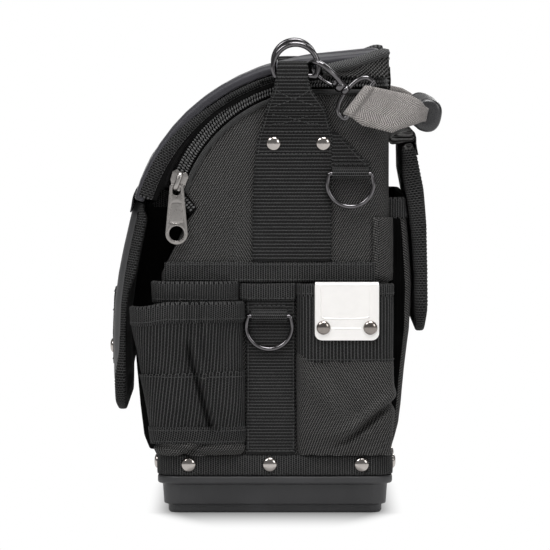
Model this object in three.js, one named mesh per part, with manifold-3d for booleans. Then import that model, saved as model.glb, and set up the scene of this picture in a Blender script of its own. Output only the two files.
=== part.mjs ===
// A soft-sided tool bag on a moulded base. It has a zipped lid that runs on into a front flap, a rear flap,
// pockets on four sides, D-rings on webbing, and a carrying handle clipped to the two top rings.
// Millimetres. +Z is up, the front of the bag faces -Y, and the origin is under the middle of the base.
// "Right" is the +X side. The left pieces are the right ones mirrored.
import * as THREE from "three";
import { mergeVertices } from "three/addons/utils/BufferGeometryUtils.js";
import Module from "manifold-3d";

const wasm = await Module();
wasm.setup();

// Between two faces that rest on each other
const seat = 0.3;

// Main body, a rounded rectangle from above
const halfWidth = 118;
const halfDepth = 79.5;
const cornerRadius = 14;
const wall = 3;
const bodyFoot = 26.6;
const slantDrop = 134.7; // from the zip down to where the front wall starts to lean back

// Zip on each side: an arc that rises from the front, then a level run that turns the rear corner
const zipTop = 301.7; // height of the level run
const zipRadius = 104.4;
const zipFrontAngle = 164;
const zipFrontInset = 10.05; // from the front wall to the zip's front end
const zipRearRun = 10; // along the rear face, past the corner
const seamHalf = 6; // from the middle of the zip to the edge of the cloth
const coilHalf = 4.3;
const coilThickness = 3.8;
const tapeThickness = 1;
const toothPitch = 9;
const toothDepth = 1.4;
const zipSplit = 0.3; // between the two rows
const tailWidth = 7;

// Lid: an arc in front, then a straight run up to the rear corner
const lidHeight = 15.9; // from the zip to the top of the lid's arc
const lidShift = [1.1, -15.3]; // from the middle of the zip's arc to the middle of the lid's, in y and z
const lidFrontAngle = 164;
const lidRearAngle = 97;
const lidRearRise = 20.8; // from the zip to the lid's rear top edge
const lidPanelThickness = 7;
const lidPanelOverhang = 1.2;
const lidCrown = 6; // how much higher the middle is than the sides
const bindingInset = lidPanelThickness + 0.6;
const bindingWidth = 7.4;
const bindingThickness = 1.7;

// Front flap, as (forward, down) from the lid's front end, along its outer and its inner face
const flapOuter = [
  [0, 0.5],
  [3.4, 14.4],
  [7.9, 34.4],
  [11.6, 53.4],
  [14.2, 73.4],
  [15.2, 99.4],
  [14.8, 124.4],
  [13.1, 139.4],
  [10.4, 146.4],
  [7.4, 148.4],
];
const flapInner = [
  [5.6, 145.4],
  [5.9, 124.4],
  [6.1, 99.4],
  [5.1, 74.4],
  [2.6, 55.4],
  [-0.9, 36.4],
  [-5.2, 16.4],
  [-6.6, 2.6],
];
const flapHalfWidth = halfWidth - 2;
const flapLength = 148.4; // from the lid's front end to the foot
const flapCorner = 34;
const pullTabHalfWidth = 14;
const pullTabTop = 67.4; // below the lid's front end, like the next two
const pullTabFoot = 121.4;
const pullTabThickness = 2.2;
const flapRivetDrop = 109.4;

// Rear flap, as (behind the rear wall, below the zip): a root sewn to the body, and the part that hangs
const rearRoot = [
  [0.3, 45.2],
  [9, 43.7],
  [18, 42.7],
  [18.4, 37.1],
  [15.5, 34.3],
  [8.5, 35.7],
  [0.3, 39.2],
];
const rearRootHalfWidth = halfWidth - 18;
const rearFlapOuter = [
  [18, 43.2],
  [20.9, 56.7],
  [24.7, 76.1],
  [26.9, 101.7],
  [27.5, 131.7],
  [27, 159.7],
  [25.1, 171.7],
  [22.5, 175.7],
];
const rearFlapInner = [
  [19.1, 171.7],
  [18.3, 156.7],
  [18.3, 136.7],
  [16.7, 111.7],
  [13.9, 86.7],
  [9.9, 65.7],
  [9.5, 44.7],
];
const rearFlapHalfWidth = halfWidth - cornerRadius;
const rearFlapLength = 175.7; // from the zip's height to the foot
const rearFlapCorner = 26;

// Rear pocket, as (behind the rear wall, share of its height) points up its outer face
const rearPocketFoot = 46;
const rearPocketDrop = 82.7; // from the zip to the pocket's rim
const rearPocketOuter = [
  [3.7, 0],
  [6.1, 0.04],
  [8.8, 0.09],
  [10.7, 0.17],
  [12.9, 0.31],
  [16.1, 0.47],
  [16.8, 0.65],
  [14.9, 0.83],
  [12.1, 1],
];
const rearPocketHalfWidth = halfWidth - cornerRadius;

// Front pocket, as (in front of the wall, above its foot). Over these points it fills the room behind the flap.
const frontPocketFoot = [
  [8.8, 0],
  [12.8, 10],
  [15.3, 30],
];
const frontPocketBelly = [19, 49.5]; // in front of the wall, below the waist band
const frontPocketSlack = 1.4; // between the pocket and the flap
const cornerStripThickness = 2.8;
const cornerStripHeight = 45;

// Moulded base
const lipTop = 26.3;
const lipDepth = 5.6;
const lipOverhang = 2.6; // past the cloth on every side
const trayInset = 3.5; // from the lip to the wall under it
const trayTaper = 1;
const footHeight = 6.3;
const footInset = 3;
const trayFloor = 3;
const rimTop = 44;
const rimThickness = 2.5;

// Webbing band over the foot of the bag, with its rivets
const bandTop = 41;
const bandThickness = 2.7;
const rivetRadius = 5.1;
const rivetHeight = 2.4;
const rivetRow = 34.4;
const sideRivets = [-60.3, -3.6, 60.5];
const endRivetPitch = 60;
const endRivetCount = 4;

// Webbing on the sides
const webbingThickness = 2.4;
const waistDrop = 140.2; // from the zip down to the waist band's lower edge
const waistHeight = 14.5;
const waistFrontInset = 2.5; // from the front wall to the band's end
const waistRearInset = 9.5;
const uprightHalfWidth = 27.5;
const uprightMiddle = halfDepth - 67.7;
const uprightRivetDrop = 57.5; // below the top of the neck
const uprightRivetHalfPitch = 17.3;
const neckMiddle = uprightMiddle + 0.5;
const neckLoopDrop = 15;
const neckRise = 14.3; // from the zip to the top of the neck
const centreStripMiddle = -3;
const rimBandHeight = 11.7;
const rimBandThickness = 1.6;

// D-rings. The top ring stands up from its bar, and the others hang from theirs.
const barDrop = 25; // degrees below level at which the ring's arc meets its bar
const topRingX = halfWidth + 13;
const topRingSlack = 2.05; // the ring hangs this far off the neck's middle
const topRingY = neckMiddle + topRingSlack;
const topRingRise = 10.5; // from the zip to the middle of the ring
const topRingRadius = 15.5;
const topWire = 2;
const ringRadius = 16;
const ringWire = 1.6;
const ringX = halfWidth + 5.4;
const lowerRingY = -4;
const lowerRingDrop = 23.5; // from the waist band to the ring's bar
const sideRingDrop = 64.4; // from the zip down to the ring's bar

// Carrying handle. The hook hangs on the top ring, and the eye, the strap and the grip follow it.
const hookSlope = 38; // degrees below level
const strapSlope = 12.4;
const hookContact = -5; // where on the top ring the hook hangs, in degrees
const hookReach = 5.9; // from the ring's wire to the middle of the hook's bend
const hookWire = 1.9;
const hookBend = 8.4;
const hookRoll = 28; // the hook is turned this far about its own length
const gateWire = 1.4;
const gateFoot = 14.1; // along the hook, where the gate is pinned
const bossFrom = 14.9; // along the hook, from the middle of its bend
const bossTo = 20;
const bossRadius = 4.6;
const postRadius = 2;
const postHeadRadius = 3.4;
const strapHalfWidth = 11.5;
const eyeWire = 1.7;
const eyeBarAt = 34;
const eyeHalfWidth = strapHalfWidth + 4.9;
const strapThickness = 5;
const strapRun = 45; // from the eye's bar to the corner at the grip
const strapCorner = 9;
const strapEyelet = 3.9;
const gripAlong = 47.5;
const gripEndGap = 19; // from the rings' plane to the end of the grip
const gripHalfDepth = 8.6;
const gripHalfHeight = 12;
const gripSlotDepth = 7;

// Zip slider and pull
const sliderAngle = 160.2;
const sliderHalfLength = 7;
const sliderHalfWidth = 5.75;
const sliderPlate = 1.4;
const bridgeWire = 1;
const bridgeTop = halfWidth + 6.2;
const pullPivot = 3.5; // along the slider, from its middle
const pullX = halfWidth + 4.05;
const pullLength = 42;
const pullTopWidth = 10;
const pullFootWidth = 15.5;
const pullThickness = 1.3;
const pullHole = 5.2;

// Side pockets. A row has a share of the height, the reach past the end wall, and the reach past the side.
const pocketWall = 2.4;
const liningThickness = 1.4;
const frontPouch = [
  [0, 5.9, 6],
  [0.13, 7.5, 10.5],
  [0.31, 10, 14],
  [0.52, 14.5, 17],
  [0.67, 17.5, 19.2],
  [0.87, 21.3, 21],
  [1, 22, 21.5],
];
const frontPouchDrop = 14.5; // from the waist band to the rim
const innerPouch = [
  [0, -1.5, 6],
  [0.45, 4.5, 10.5],
  [1, 7.5, 12],
];
const innerPouchFoot = 86;
const rearPouch = [
  [0, 3.9, 6.5],
  [0.12, 5.5, 10.5],
  [0.36, 6.7, 13.5],
  [0.6, 6.7, 14],
  [1, 6.5, 14],
];
const rearPouchDrop = 1.5;
const pouchGap = 0.6; // beside the centre strip
const innerPouchGap = 4.2;
const pouchMiddleX = halfWidth - 8;
const frontPocketHalfWidth = halfWidth - 42;

// Tape-measure clip on the right side
const clipY = halfDepth - 29.5;
const clipRise = 2.3; // from the pocket's rim to the fold
const clipHeight = 40.3;
const clipHalfWidth = 22.4;
const clipThickness = 1.2;
const clipCorner = 5;
const clipRivetRise = 8.8; // above the clip's foot
const clipRivetHalfPitch = 16.3;
const clipTongue = 12;

// Inside
const dividerY = 10;
const dividerThickness = 4;
const dividerTop = 190;

const cloth = { color: 0x262628, roughness: 0.9, metalness: 0 };
const webbing = { color: 0x2c2c2e, roughness: 0.85, metalness: 0 };
const smoothPanel = { color: 0x3a3a3f, roughness: 0.55, metalness: 0 };
const lining = { color: 0x0b0b0c, roughness: 0.95, metalness: 0 };
const plastic = { color: 0x38383a, roughness: 0.5, metalness: 0 };
const greyStrap = { color: 0x8d8782, roughness: 0.8, metalness: 0 };
const rubber = { color: 0x1c1c1e, roughness: 0.45, metalness: 0 };
const blackMetal = { color: 0x2a2a2c, roughness: 0.25, metalness: 1 };
const nickel = { color: 0xc9c2bb, roughness: 0.25, metalness: 1 };

const rad = THREE.MathUtils.degToRad;
const point = (x, y) => new THREE.Vector2(x, y);
const place = (x, y, z) => new THREE.Vector3(x, y, z);
const axisX = place(1, 0, 0);
const axisY = place(0, 1, 0);
const axisZ = place(0, 0, 1);

// Places that follow from the sizes
const zipCentreY =
  zipFrontInset - halfDepth - zipRadius * Math.cos(rad(zipFrontAngle));
const zipCentreZ = zipTop - zipRadius;
const zipFrontZ = zipCentreZ + zipRadius * Math.sin(rad(zipFrontAngle));
const slantFoot = zipTop - slantDrop;
const slantTop = [19.5 - halfDepth, zipFrontZ - 20.1];
const zipCorner = [25 - halfDepth, zipFrontZ - 13.1]; // under the zip's tail, the wall turns forward again
const lidRadius = zipRadius + lidHeight - lidShift[1];
const lidCentreY = zipCentreY + lidShift[0];
const lidCentreZ = zipCentreZ + lidShift[1];
const lidRearTop = zipTop + lidRearRise;
const lidFrontY = lidCentreY + lidRadius * Math.cos(rad(lidFrontAngle));
const lidFrontZ = lidCentreZ + lidRadius * Math.sin(rad(lidFrontAngle));
const pocketFoot = bandTop + seat;
const waistFoot = zipTop - waistDrop;
const waistTop = waistFoot + waistHeight;
const waistFront = waistFrontInset - halfDepth;
const waistRear = halfDepth - waistRearInset;
const neckTop = zipTop + neckRise;
const topRingZ = zipTop + topRingRise;
const neckHalfWidth =
  topRingRadius * Math.cos(rad(barDrop)) - topWire - topRingSlack;
const keeperHalfWidth =
  ringRadius * Math.cos(rad(barDrop)) - ringWire - seat;
const sideRingY = uprightMiddle + uprightHalfWidth + keeperHalfWidth + 2 * seat;
const sideRingZ = zipTop - sideRingDrop;
const lowerRingZ = waistFoot - lowerRingDrop;
const centreStripHalfWidth = ringRadius + 1.3;
const gripHalfLength = topRingX - gripEndGap;
const clipTop = waistFoot - rearPouchDrop + clipRise;
const clipFoot = clipTop - clipHeight;
const frontPouchRear = centreStripMiddle - centreStripHalfWidth - pouchGap;
const innerPouchRear = centreStripMiddle - centreStripHalfWidth - innerPouchGap;
const rearPouchFront = centreStripMiddle + centreStripHalfWidth + pouchGap;

// Outlines

// Points given as distances in front of the lid's front end, and down from it
const onFlap = (points) =>
  points.map(([y, z]) => point(lidFrontY - y, lidFrontZ - z));
// Points given behind the rear wall, and down from the zip
const onRear = (points) => points.map(([y, z]) => point(halfDepth + y, zipTop - z));

function arc(cx, cy, r, from, to, steps) {
  const points = [];
  for (let i = 0; i <= steps; i++) {
    const a = rad(from + ((to - from) * i) / steps);
    points.push(point(cx + r * Math.cos(a), cy + r * Math.sin(a)));
  }
  return points;
}

function roundedRectangle(halfX, halfY, r, steps = 5) {
  const corners = [
    [1, 1, 0],
    [-1, 1, 90],
    [-1, -1, 180],
    [1, -1, 270],
  ];
  return corners.flatMap(([sx, sy, a]) =>
    arc(sx * (halfX - r), sy * (halfY - r), r, a, a + 90, steps),
  );
}

function plan(grow, steps) {
  return roundedRectangle(
    halfWidth + grow,
    halfDepth + grow,
    cornerRadius + grow,
    steps,
  );
}

function superEllipse(cx, cy, a, b, power, count) {
  const points = [];
  for (let i = 0; i < count; i++) {
    const t = (2 * Math.PI * i) / count;
    const c = Math.cos(t);
    const s = Math.sin(t);
    points.push(
      point(
        cx + a * Math.sign(c) * Math.abs(c) ** (2 / power),
        cy + b * Math.sign(s) * Math.abs(s) ** (2 / power),
      ),
    );
  }
  return points;
}

function circle(cx, cy, r, sides) {
  return arc(cx, cy, r, 0, 360 - 360 / sides, sides - 1);
}

// Solids

function solid(geometry) {
  const bare = new THREE.BufferGeometry();
  const flat = geometry.index ? geometry.toNonIndexed() : geometry;
  bare.setAttribute("position", flat.getAttribute("position"));
  const merged = mergeVertices(bare, 1e-4);
  return new wasm.Manifold(
    new wasm.Mesh({
      numProp: 3,
      vertProperties: new Float32Array(merged.attributes.position.array),
      triVerts: new Uint32Array(merged.index.array),
    }),
  );
}

function geometryOf(shape) {
  const mesh = shape.getMesh();
  const geometry = new THREE.BufferGeometry();
  geometry.setAttribute(
    "position",
    new THREE.BufferAttribute(new Float32Array(mesh.vertProperties), 3),
  );
  geometry.setIndex(
    new THREE.BufferAttribute(new Uint32Array(mesh.triVerts), 1),
  );
  geometry.computeVertexNormals();
  return geometry;
}

function extruded(points, depth, basis, holes = []) {
  const shape = new THREE.Shape(points);
  shape.holes = holes.map((h) => new THREE.Path(h));
  const geometry = new THREE.ExtrudeGeometry(shape, {
    depth,
    bevelEnabled: false,
  });
  return geometry.applyMatrix4(basis);
}

// The outline is given as (y, z), and the solid runs from x0 to x1.
function alongX(points, x0, x1, holes) {
  const basis = new THREE.Matrix4().makeBasis(axisY, axisZ, axisX);
  return solid(extruded(points, x1 - x0, basis, holes).translate(x0, 0, 0));
}

// The outline is given as (x, z), and the solid runs from y0 to y1.
function alongY(points, y0, y1, holes) {
  const back = axisY.clone().negate();
  const basis = new THREE.Matrix4().makeBasis(axisX, axisZ, back);
  return solid(extruded(points, y1 - y0, basis, holes).translate(0, y1, 0));
}

// The outline is given as (x, y), and the solid runs from z0 to z1.
function alongZ(points, z0, z1) {
  const basis = new THREE.Matrix4();
  return solid(extruded(points, z1 - z0, basis).translate(0, 0, z0));
}

function box(x0, x1, y0, y1, z0, z1) {
  const geometry = new THREE.BoxGeometry(x1 - x0, y1 - y0, z1 - z0);
  return solid(
    geometry.translate((x0 + x1) / 2, (y0 + y1) / 2, (z0 + z1) / 2),
  );
}

// Rings of equally many points, joined one to the next and closed at both ends.
function loft(rings) {
  const n = rings[0].length;
  const faces = [];
  for (let r = 0; r + 1 < rings.length; r++)
    for (let i = 0; i < n; i++) {
      const j = (i + 1) % n;
      const [a, b, c, d] = [r * n + i, r * n + j, r * n + n + j, r * n + n + i];
      faces.push(a, b, c, a, c, d);
    }
  const last = (rings.length - 1) * n;
  const ends = THREE.ShapeUtils.triangulateShape(flattened(rings[0]), []);
  const tops = THREE.ShapeUtils.triangulateShape(flattened(rings.at(-1)), []);
  for (const [a, b, c] of ends) faces.push(a, c, b);
  for (const [a, b, c] of tops) faces.push(last + a, last + b, last + c);
  const geometry = new THREE.BufferGeometry().setFromPoints(rings.flat());
  geometry.setIndex(faces);
  const made = solid(geometry);
  return made.volume() < 0 ? turnedOut(geometry) : made;
}

function turnedOut(geometry) {
  const index = geometry.index.array;
  for (let i = 0; i < index.length; i += 3)
    [index[i + 1], index[i + 2]] = [index[i + 2], index[i + 1]];
  return solid(geometry);
}

// A ring of points in space, as an outline in its own plane.
function flattened(ring) {
  const n = ring.length;
  const u = ring[1].clone().sub(ring[0]).normalize();
  const middle = ring.reduce((sum, p) => sum.add(p), place(0, 0, 0));
  middle.divideScalar(n);
  const normal = place(0, 0, 0);
  for (let i = 0; i < n; i++) {
    const a = ring[i].clone().sub(middle);
    normal.add(a.cross(ring[(i + 1) % n].clone().sub(middle)));
  }
  const v = normal.normalize().cross(u);
  return ring.map((p) => point(p.dot(u), p.dot(v)));
}

// A round bar along a smooth line through the points.
function bar(points, radius, steps, sides = 6) {
  const path = new THREE.CatmullRomCurve3(points, false, "centripetal");
  const section = new THREE.Shape(circle(0, 0, radius, sides));
  const geometry = new THREE.ExtrudeGeometry(section, {
    steps,
    bevelEnabled: false,
    extrudePath: path,
  });
  const made = solid(geometry);
  if (made.volume() > 0) return made;
  return turnedOut(mergeVertices(positionsOnly(geometry), 1e-4));
}

function positionsOnly(geometry) {
  const bare = new THREE.BufferGeometry();
  const flat = geometry.index ? geometry.toNonIndexed() : geometry;
  bare.setAttribute("position", flat.getAttribute("position"));
  return bare;
}

// A turned shape on an axis that starts at a point and runs along a direction.
function turned(profile, from, direction, sides = 12) {
  const geometry = new THREE.LatheGeometry(profile, sides);
  const turn = new THREE.Quaternion().setFromUnitVectors(
    axisY,
    direction.clone().normalize(),
  );
  return solid(
    geometry.applyQuaternion(turn).translate(from.x, from.y, from.z),
  );
}

function rod(from, direction, radius, length, sides = 12) {
  const profile = [
    point(0, 0),
    point(radius, 0),
    point(radius, length),
    point(0, length),
  ];
  return turned(profile, from, direction, sides);
}

// A domed rivet head, with its flat side at the given place.
function rivetHead(from, direction, radius = rivetRadius) {
  const profile = [
    point(0, 0),
    point(radius, 0),
    point(radius * 0.94, rivetHeight * 0.4),
    point(0, rivetHeight),
  ];
  return turned(profile, from, direction, 10);
}

function mesh(name, shape, look) {
  const made = new THREE.Mesh(
    geometryOf(shape),
    new THREE.MeshStandardMaterial(look),
  );
  made.name = name;
  return made;
}

const joined = (...shapes) => shapes.reduce((a, b) => a.add(b));
const tallEnough = 2 * zipTop;

// The space that the body fills, for cutting what is sewn on it.
const bodySpace = alongZ(plan(seat), 0, tallEnough);


// Body and base

const zipArc = (r, from, to, steps) =>
  arc(zipCentreY, zipCentreZ, r, from, to, steps);
const pairs = (points) => points.map(([y, z]) => point(y, z));

// The zip stops short of this on the rear face, and the cloth between is the lid's hinge.
const hingeHalfWidth = halfWidth - cornerRadius - zipRearRun - 2;

function hingeEdge(z0, z1) {
  return box(
    -hingeHalfWidth,
    hingeHalfWidth,
    halfDepth - wall,
    halfDepth,
    z0,
    z1,
  );
}

function bodyShell() {
  const outline = [
    point(halfDepth, bodyFoot),
    point(halfDepth, zipTop - seamHalf),
    ...zipArc(zipRadius - seamHalf, 90, zipFrontAngle, 12),
    ...pairs([zipCorner, slantTop]),
    point(-halfDepth, slantFoot),
    point(-halfDepth, bodyFoot),
  ];
  const frontEdge = outline[2 + 12];
  const hollow = [
    point(halfDepth - wall, 0),
    point(halfDepth - wall, tallEnough),
    point(frontEdge.x + wall, tallEnough),
    point(frontEdge.x + wall, frontEdge.y),
    point(zipCorner[0] + wall * 1.15, zipCorner[1]),
    point(slantTop[0] + wall * 1.1, slantTop[1] - 1),
    point(wall - halfDepth, slantFoot - 1),
    point(wall - halfDepth, 0),
  ];
  const inside = alongX(hollow, wall - halfWidth, halfWidth - wall).intersect(
    alongZ(plan(-wall), 0, tallEnough),
  );
  return alongX(outline, -halfWidth, halfWidth)
    .intersect(alongZ(plan(0), 0, tallEnough))
    .subtract(inside)
    .add(hingeEdge(zipTop - seamHalf - 1, zipTop - seat / 2));
}

function baseTray() {
  const under = lipOverhang - trayInset;
  const lipFoot = lipTop - lipDepth;
  const foot = under - trayTaper - footInset;
  const rings = [
    [0, foot - 1.2],
    [1.4, foot],
    [footHeight - 0.8, foot],
    [footHeight, under - trayTaper],
    [lipFoot - 0.6, under],
    [lipFoot, lipOverhang - 0.6],
    [lipFoot + 1, lipOverhang],
    [lipTop - 1, lipOverhang],
    [lipTop, lipOverhang - 0.9],
  ].map(([z, grow]) => plan(grow, 4).map((p) => place(p.x, p.y, z)));
  const rimOut = -wall - seat;
  return loft(rings)
    .add(alongZ(plan(rimOut, 4), lipTop - 1, rimTop))
    .subtract(alongZ(plan(rimOut - rimThickness, 4), trayFloor, tallEnough));
}

function baseBand() {
  const out = seat + bandThickness;
  const ring = alongZ(plan(out), bodyFoot, bandTop);
  const heads = [];
  for (const side of [1, -1]) {
    const x = side * (halfWidth + out - 0.1);
    const y = side * (halfDepth + out - 0.1);
    for (const at of sideRivets)
      heads.push(rivetHead(place(x, at, rivetRow), place(side, 0, 0)));
    for (let i = 0; i < endRivetCount; i++) {
      const at = (i - (endRivetCount - 1) / 2) * endRivetPitch;
      heads.push(rivetHead(place(at, y, rivetRow), place(0, side, 0)));
    }
  }
  return joined(ring.subtract(bodySpace), ...heads);
}

function dividerPanel() {
  const half = halfWidth - wall - seat - rimThickness - 1.5;
  const outline = [
    point(-half, trayFloor + seat),
    point(half, trayFloor + seat),
    ...arc(half - 20, dividerTop - 20, 20, 0, 90, 5),
    ...arc(20 - half, dividerTop - 20, 20, 90, 180, 5),
  ];
  const hand = roundedRectangle(34, 9, 8.9, 3).map((p) =>
    point(p.x, p.y + dividerTop - 26),
  );
  const y = dividerY - dividerThickness / 2;
  return alongY(outline, y, y + dividerThickness, [hand]);
}

// Zip

const zipArcLength = zipRadius * rad(zipFrontAngle - 90);
const rearTurn = (cornerRadius * Math.PI) / 2;
const zipLength =
  zipArcLength + halfDepth - cornerRadius - zipCentreY + rearTurn + zipRearRun;

// A point at a length from the zip's front end, moved outward from the zip's line.
function zipPoint(length, outward) {
  if (length > zipArcLength)
    return point(zipCentreY + length - zipArcLength, zipTop + outward);
  const angle = zipFrontAngle - THREE.MathUtils.radToDeg(length / zipRadius);
  return zipArc(zipRadius + outward, angle, angle, 1)[0];
}

// The zip lies in the flat side up to here, and then turns the rear corner.
const zipFlatEnd = zipArcLength + halfDepth - cornerRadius - zipCentreY;
const zipMiddle = halfWidth - wall / 2;

// A place at a length past the arc, moved away from the zip's middle surface.
function zipPlace(length, away, z) {
  const cx = halfWidth - cornerRadius;
  const cy = halfDepth - cornerRadius;
  const past = length - zipFlatEnd;
  if (past <= 0) return place(zipMiddle + away, cy + past, z);
  const r = cornerRadius - wall / 2 + away;
  const angle = Math.min(past / cornerRadius, Math.PI / 2);
  const x = cx + r * Math.cos(angle) - Math.max(past - rearTurn, 0);
  return place(x, cy + r * Math.sin(angle), z);
}

// A bar of rectangular section that follows the zip, between two heights above or below its middle.
function zipBar(lengths, low, high, thickness) {
  const half = thickness / 2;
  const [z0, z1] = [zipTop + Math.min(low, high), zipTop + Math.max(low, high)];
  const rings = lengths.map((s) => [
    zipPlace(s, half, z0),
    zipPlace(s, half, z1),
    zipPlace(s, -half, z1),
    zipPlace(s, -half, z0),
  ]);
  return loft(rings);
}

// One row of teeth on its tape. Side 1 is the lid's row, and side -1 the body's.
function zipRow(side) {
  const tip = (side * zipSplit) / 2;
  const root = tip + side * toothDepth;
  const back = side * coilHalf;
  const edge = side * (seamHalf - seat);
  const toothWidth = toothPitch * 0.46;
  const teeth = [];
  const stations = [];
  const shapes = [];
  const first = side > 0 ? toothPitch / 2 : 0;
  for (let s = first; s + toothWidth < zipLength; s += toothPitch) {
    if (s + toothPitch > zipFlatEnd) {
      const ends = [s, s + toothWidth];
      shapes.push(zipBar(ends, tip, root + side * 0.3, coilThickness));
      continue;
    }
    teeth.push(zipPoint(s, tip), zipPoint(s + toothWidth, tip));
    teeth.push(zipPoint(s + toothPitch * 0.54, root));
    teeth.push(zipPoint(s + toothPitch * 0.96, root));
    stations.push(s);
  }
  teeth.push(zipPoint(zipFlatEnd, root));
  stations.push(zipFlatEnd);
  const line = (outward) => stations.map((s) => zipPoint(s, outward));
  const flat = (outline, thickness) =>
    alongX(outline, zipMiddle - thickness / 2, zipMiddle + thickness / 2);
  const turn = [zipFlatEnd - 0.4];
  for (let i = 1; i <= 4; i++) turn.push(zipFlatEnd + (i / 4) * rearTurn);
  turn.push(zipLength);
  return joined(
    flat([...teeth, ...line(back).toReversed()], coilThickness),
    flat([...line(back - side), ...line(edge).toReversed()], tapeThickness),
    zipBar(turn, root, back, coilThickness),
    zipBar(turn, back - side, edge, tapeThickness),
    ...shapes,
  );
}

// The body's row runs on past the slider, down the edge of the cloth.
function lowerZipRow() {
  const edge = zipArc(zipRadius - seamHalf, zipFrontAngle, zipFrontAngle, 1)[0];
  const down = point(...zipCorner).sub(edge).normalize();
  const out = point(down.y, -down.x);
  const start = edge.clone().addScaledVector(out, seat);
  const end = point(...zipCorner).addScaledVector(out, seat);
  const tail = [
    start,
    end,
    end.clone().addScaledVector(out, tailWidth),
    start.clone().addScaledVector(out, tailWidth),
    zipPoint(0.6, -1.5),
    zipPoint(0.6, -coilHalf),
  ];
  const reach = coilThickness / 2;
  return zipRow(-1).add(alongX(tail, zipMiddle - reach, zipMiddle + reach));
}

// Lid

// The lid's side outline, from its front end to its rear top corner.
function lidOutline(inset) {
  return [
    ...arc(
      lidCentreY,
      lidCentreZ,
      lidRadius - inset,
      lidFrontAngle,
      lidRearAngle,
      11,
    ),
    point(halfDepth - 6, lidRearTop - inset),
  ];
}

function lidPlan(grow) {
  const x = halfWidth - cornerRadius;
  const y = halfDepth - cornerRadius;
  return alongZ(
    [
      ...arc(x, y, cornerRadius + grow, 0, 90, 5),
      ...arc(-x, y, cornerRadius + grow, 90, 180, 5),
      point(-halfWidth - grow, -3 * halfDepth),
      point(halfWidth + grow, -3 * halfDepth),
    ],
    0,
    tallEnough,
  );
}

function lidShell() {
  const top = lidOutline(lidPanelThickness + seat);
  const outline = [
    ...top,
    point(halfDepth, top.at(-1).y),
    point(halfDepth, zipTop + seamHalf),
    ...zipArc(zipRadius + seamHalf, 90, zipFrontAngle, 12),
  ];
  return alongX(outline, -halfWidth, halfWidth)
    .intersect(lidPlan(0))
    .subtract(lidPlan(-wall))
    .add(hingeEdge(zipTop + seat / 2, zipTop + seamHalf + 1));
}

// The padded top, higher in the middle than at the sides.
function lidPanel() {
  const half = halfWidth + lidPanelOverhang;
  const section = (x) => {
    const rise = lidCrown * (1 - (x / half) ** 2);
    const soft = Math.abs(x) > half - 1 ? 1.6 : 0;
    const outer = lidOutline(soft);
    const inner = lidOutline(lidPanelThickness);
    const lift = (p, i) => {
      const share = i > 11 ? 0.75 : Math.sin((Math.PI * Math.min(i, 5)) / 10);
      const away = point(p.x - lidCentreY, p.y - lidCentreZ).normalize();
      return p.clone().addScaledVector(away, rise * share);
    };
    const top = outer.map(lift);
    const rear = halfDepth + lidPanelOverhang;
    const end = [
      point(rear - 1.5, lidRearTop - 1.6),
      point(rear, lidRearTop - lidPanelThickness + 2),
      point(rear - 0.4, lidRearTop - lidPanelThickness),
    ];
    return [...top, ...end, ...inner.map(lift).toReversed()];
  };
  const stations = [-1, -0.985, -0.8, -0.55, -0.28, 0, 0.28, 0.55, 0.8, 0.985, 1];
  const rings = stations.map((share) =>
    section(share * half).map((p) => place(share * half, p.x, p.y)),
  );
  return loft(rings).intersect(lidPlan(lidPanelOverhang));
}

// Ribbed edging along the side of the lid, under the padded top.
function lidBinding() {
  const outer = lidOutline(bindingInset);
  const inner = lidOutline(bindingInset + bindingWidth);
  const x = halfWidth + seat;
  const wide = 2 * halfWidth;
  const zip = alongX(zipArc(zipRadius + seamHalf + 0.4, 0, 350, 35), 0, wide);
  const reach = box(0, wide, lidFrontY + 8.4, halfDepth - cornerRadius, 0, tallEnough);
  return alongX([...outer, ...inner.toReversed()], x, x + bindingThickness)
    .subtract(zip)
    .intersect(reach)
    .subtract(box(0, wide, zipCentreY, wide, 0, zipTop + seamHalf + 0.4));
}

// Flaps

function flapShape(half, foot, corner) {
  return [
    ...arc(half - corner, foot + corner, corner, 270, 360, 5),
    point(half, tallEnough),
    point(-half, tallEnough),
    ...arc(corner - half, foot + corner, corner, 180, 270, 5),
  ];
}

function frontFlap() {
  const section = onFlap([...flapOuter, ...flapInner]);
  const cut = flapShape(flapHalfWidth, lidFrontZ - flapLength, flapCorner);
  return alongX(section, -flapHalfWidth, flapHalfWidth).intersect(
    alongY(cut, -3 * halfDepth, 0),
  );
}

// A strip of webbing down the middle of the flap, held by a rivet.
function flapPullTab() {
  const face = alongX(
    onFlap([...flapOuter, ...flapInner]),
    -flapHalfWidth,
    flapHalfWidth,
  );
  const half = pullTabHalfWidth;
  const near = face.translate([0, -seat, 0]);
  const far = face.translate([0, -seat - pullTabThickness, 0]);
  const foremost = lidFrontY - Math.max(...flapOuter.map(([y]) => y));
  const strip = box(
    -half,
    half,
    foremost - 10,
    foremost + 8,
    lidFrontZ - pullTabFoot,
    lidFrontZ - pullTabTop,
  );
  const y = foremost - seat - pullTabThickness + 0.3;
  return far
    .intersect(strip)
    .subtract(near)
    .add(rivetHead(place(0, y, lidFrontZ - flapRivetDrop), place(0, -1, 0)));
}

function rearFlapRoot() {
  return alongX(onRear(rearRoot), -rearRootHalfWidth, rearRootHalfWidth);
}

function rearFlap() {
  const section = onRear([...rearFlapOuter, ...rearFlapInner]);
  const foot = zipTop - rearFlapLength;
  const cut = flapShape(rearFlapHalfWidth, foot, rearFlapCorner);
  return alongX(section, -rearFlapHalfWidth, rearFlapHalfWidth).intersect(
    alongY(cut, 0, 3 * halfDepth),
  );
}

// Pockets

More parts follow.
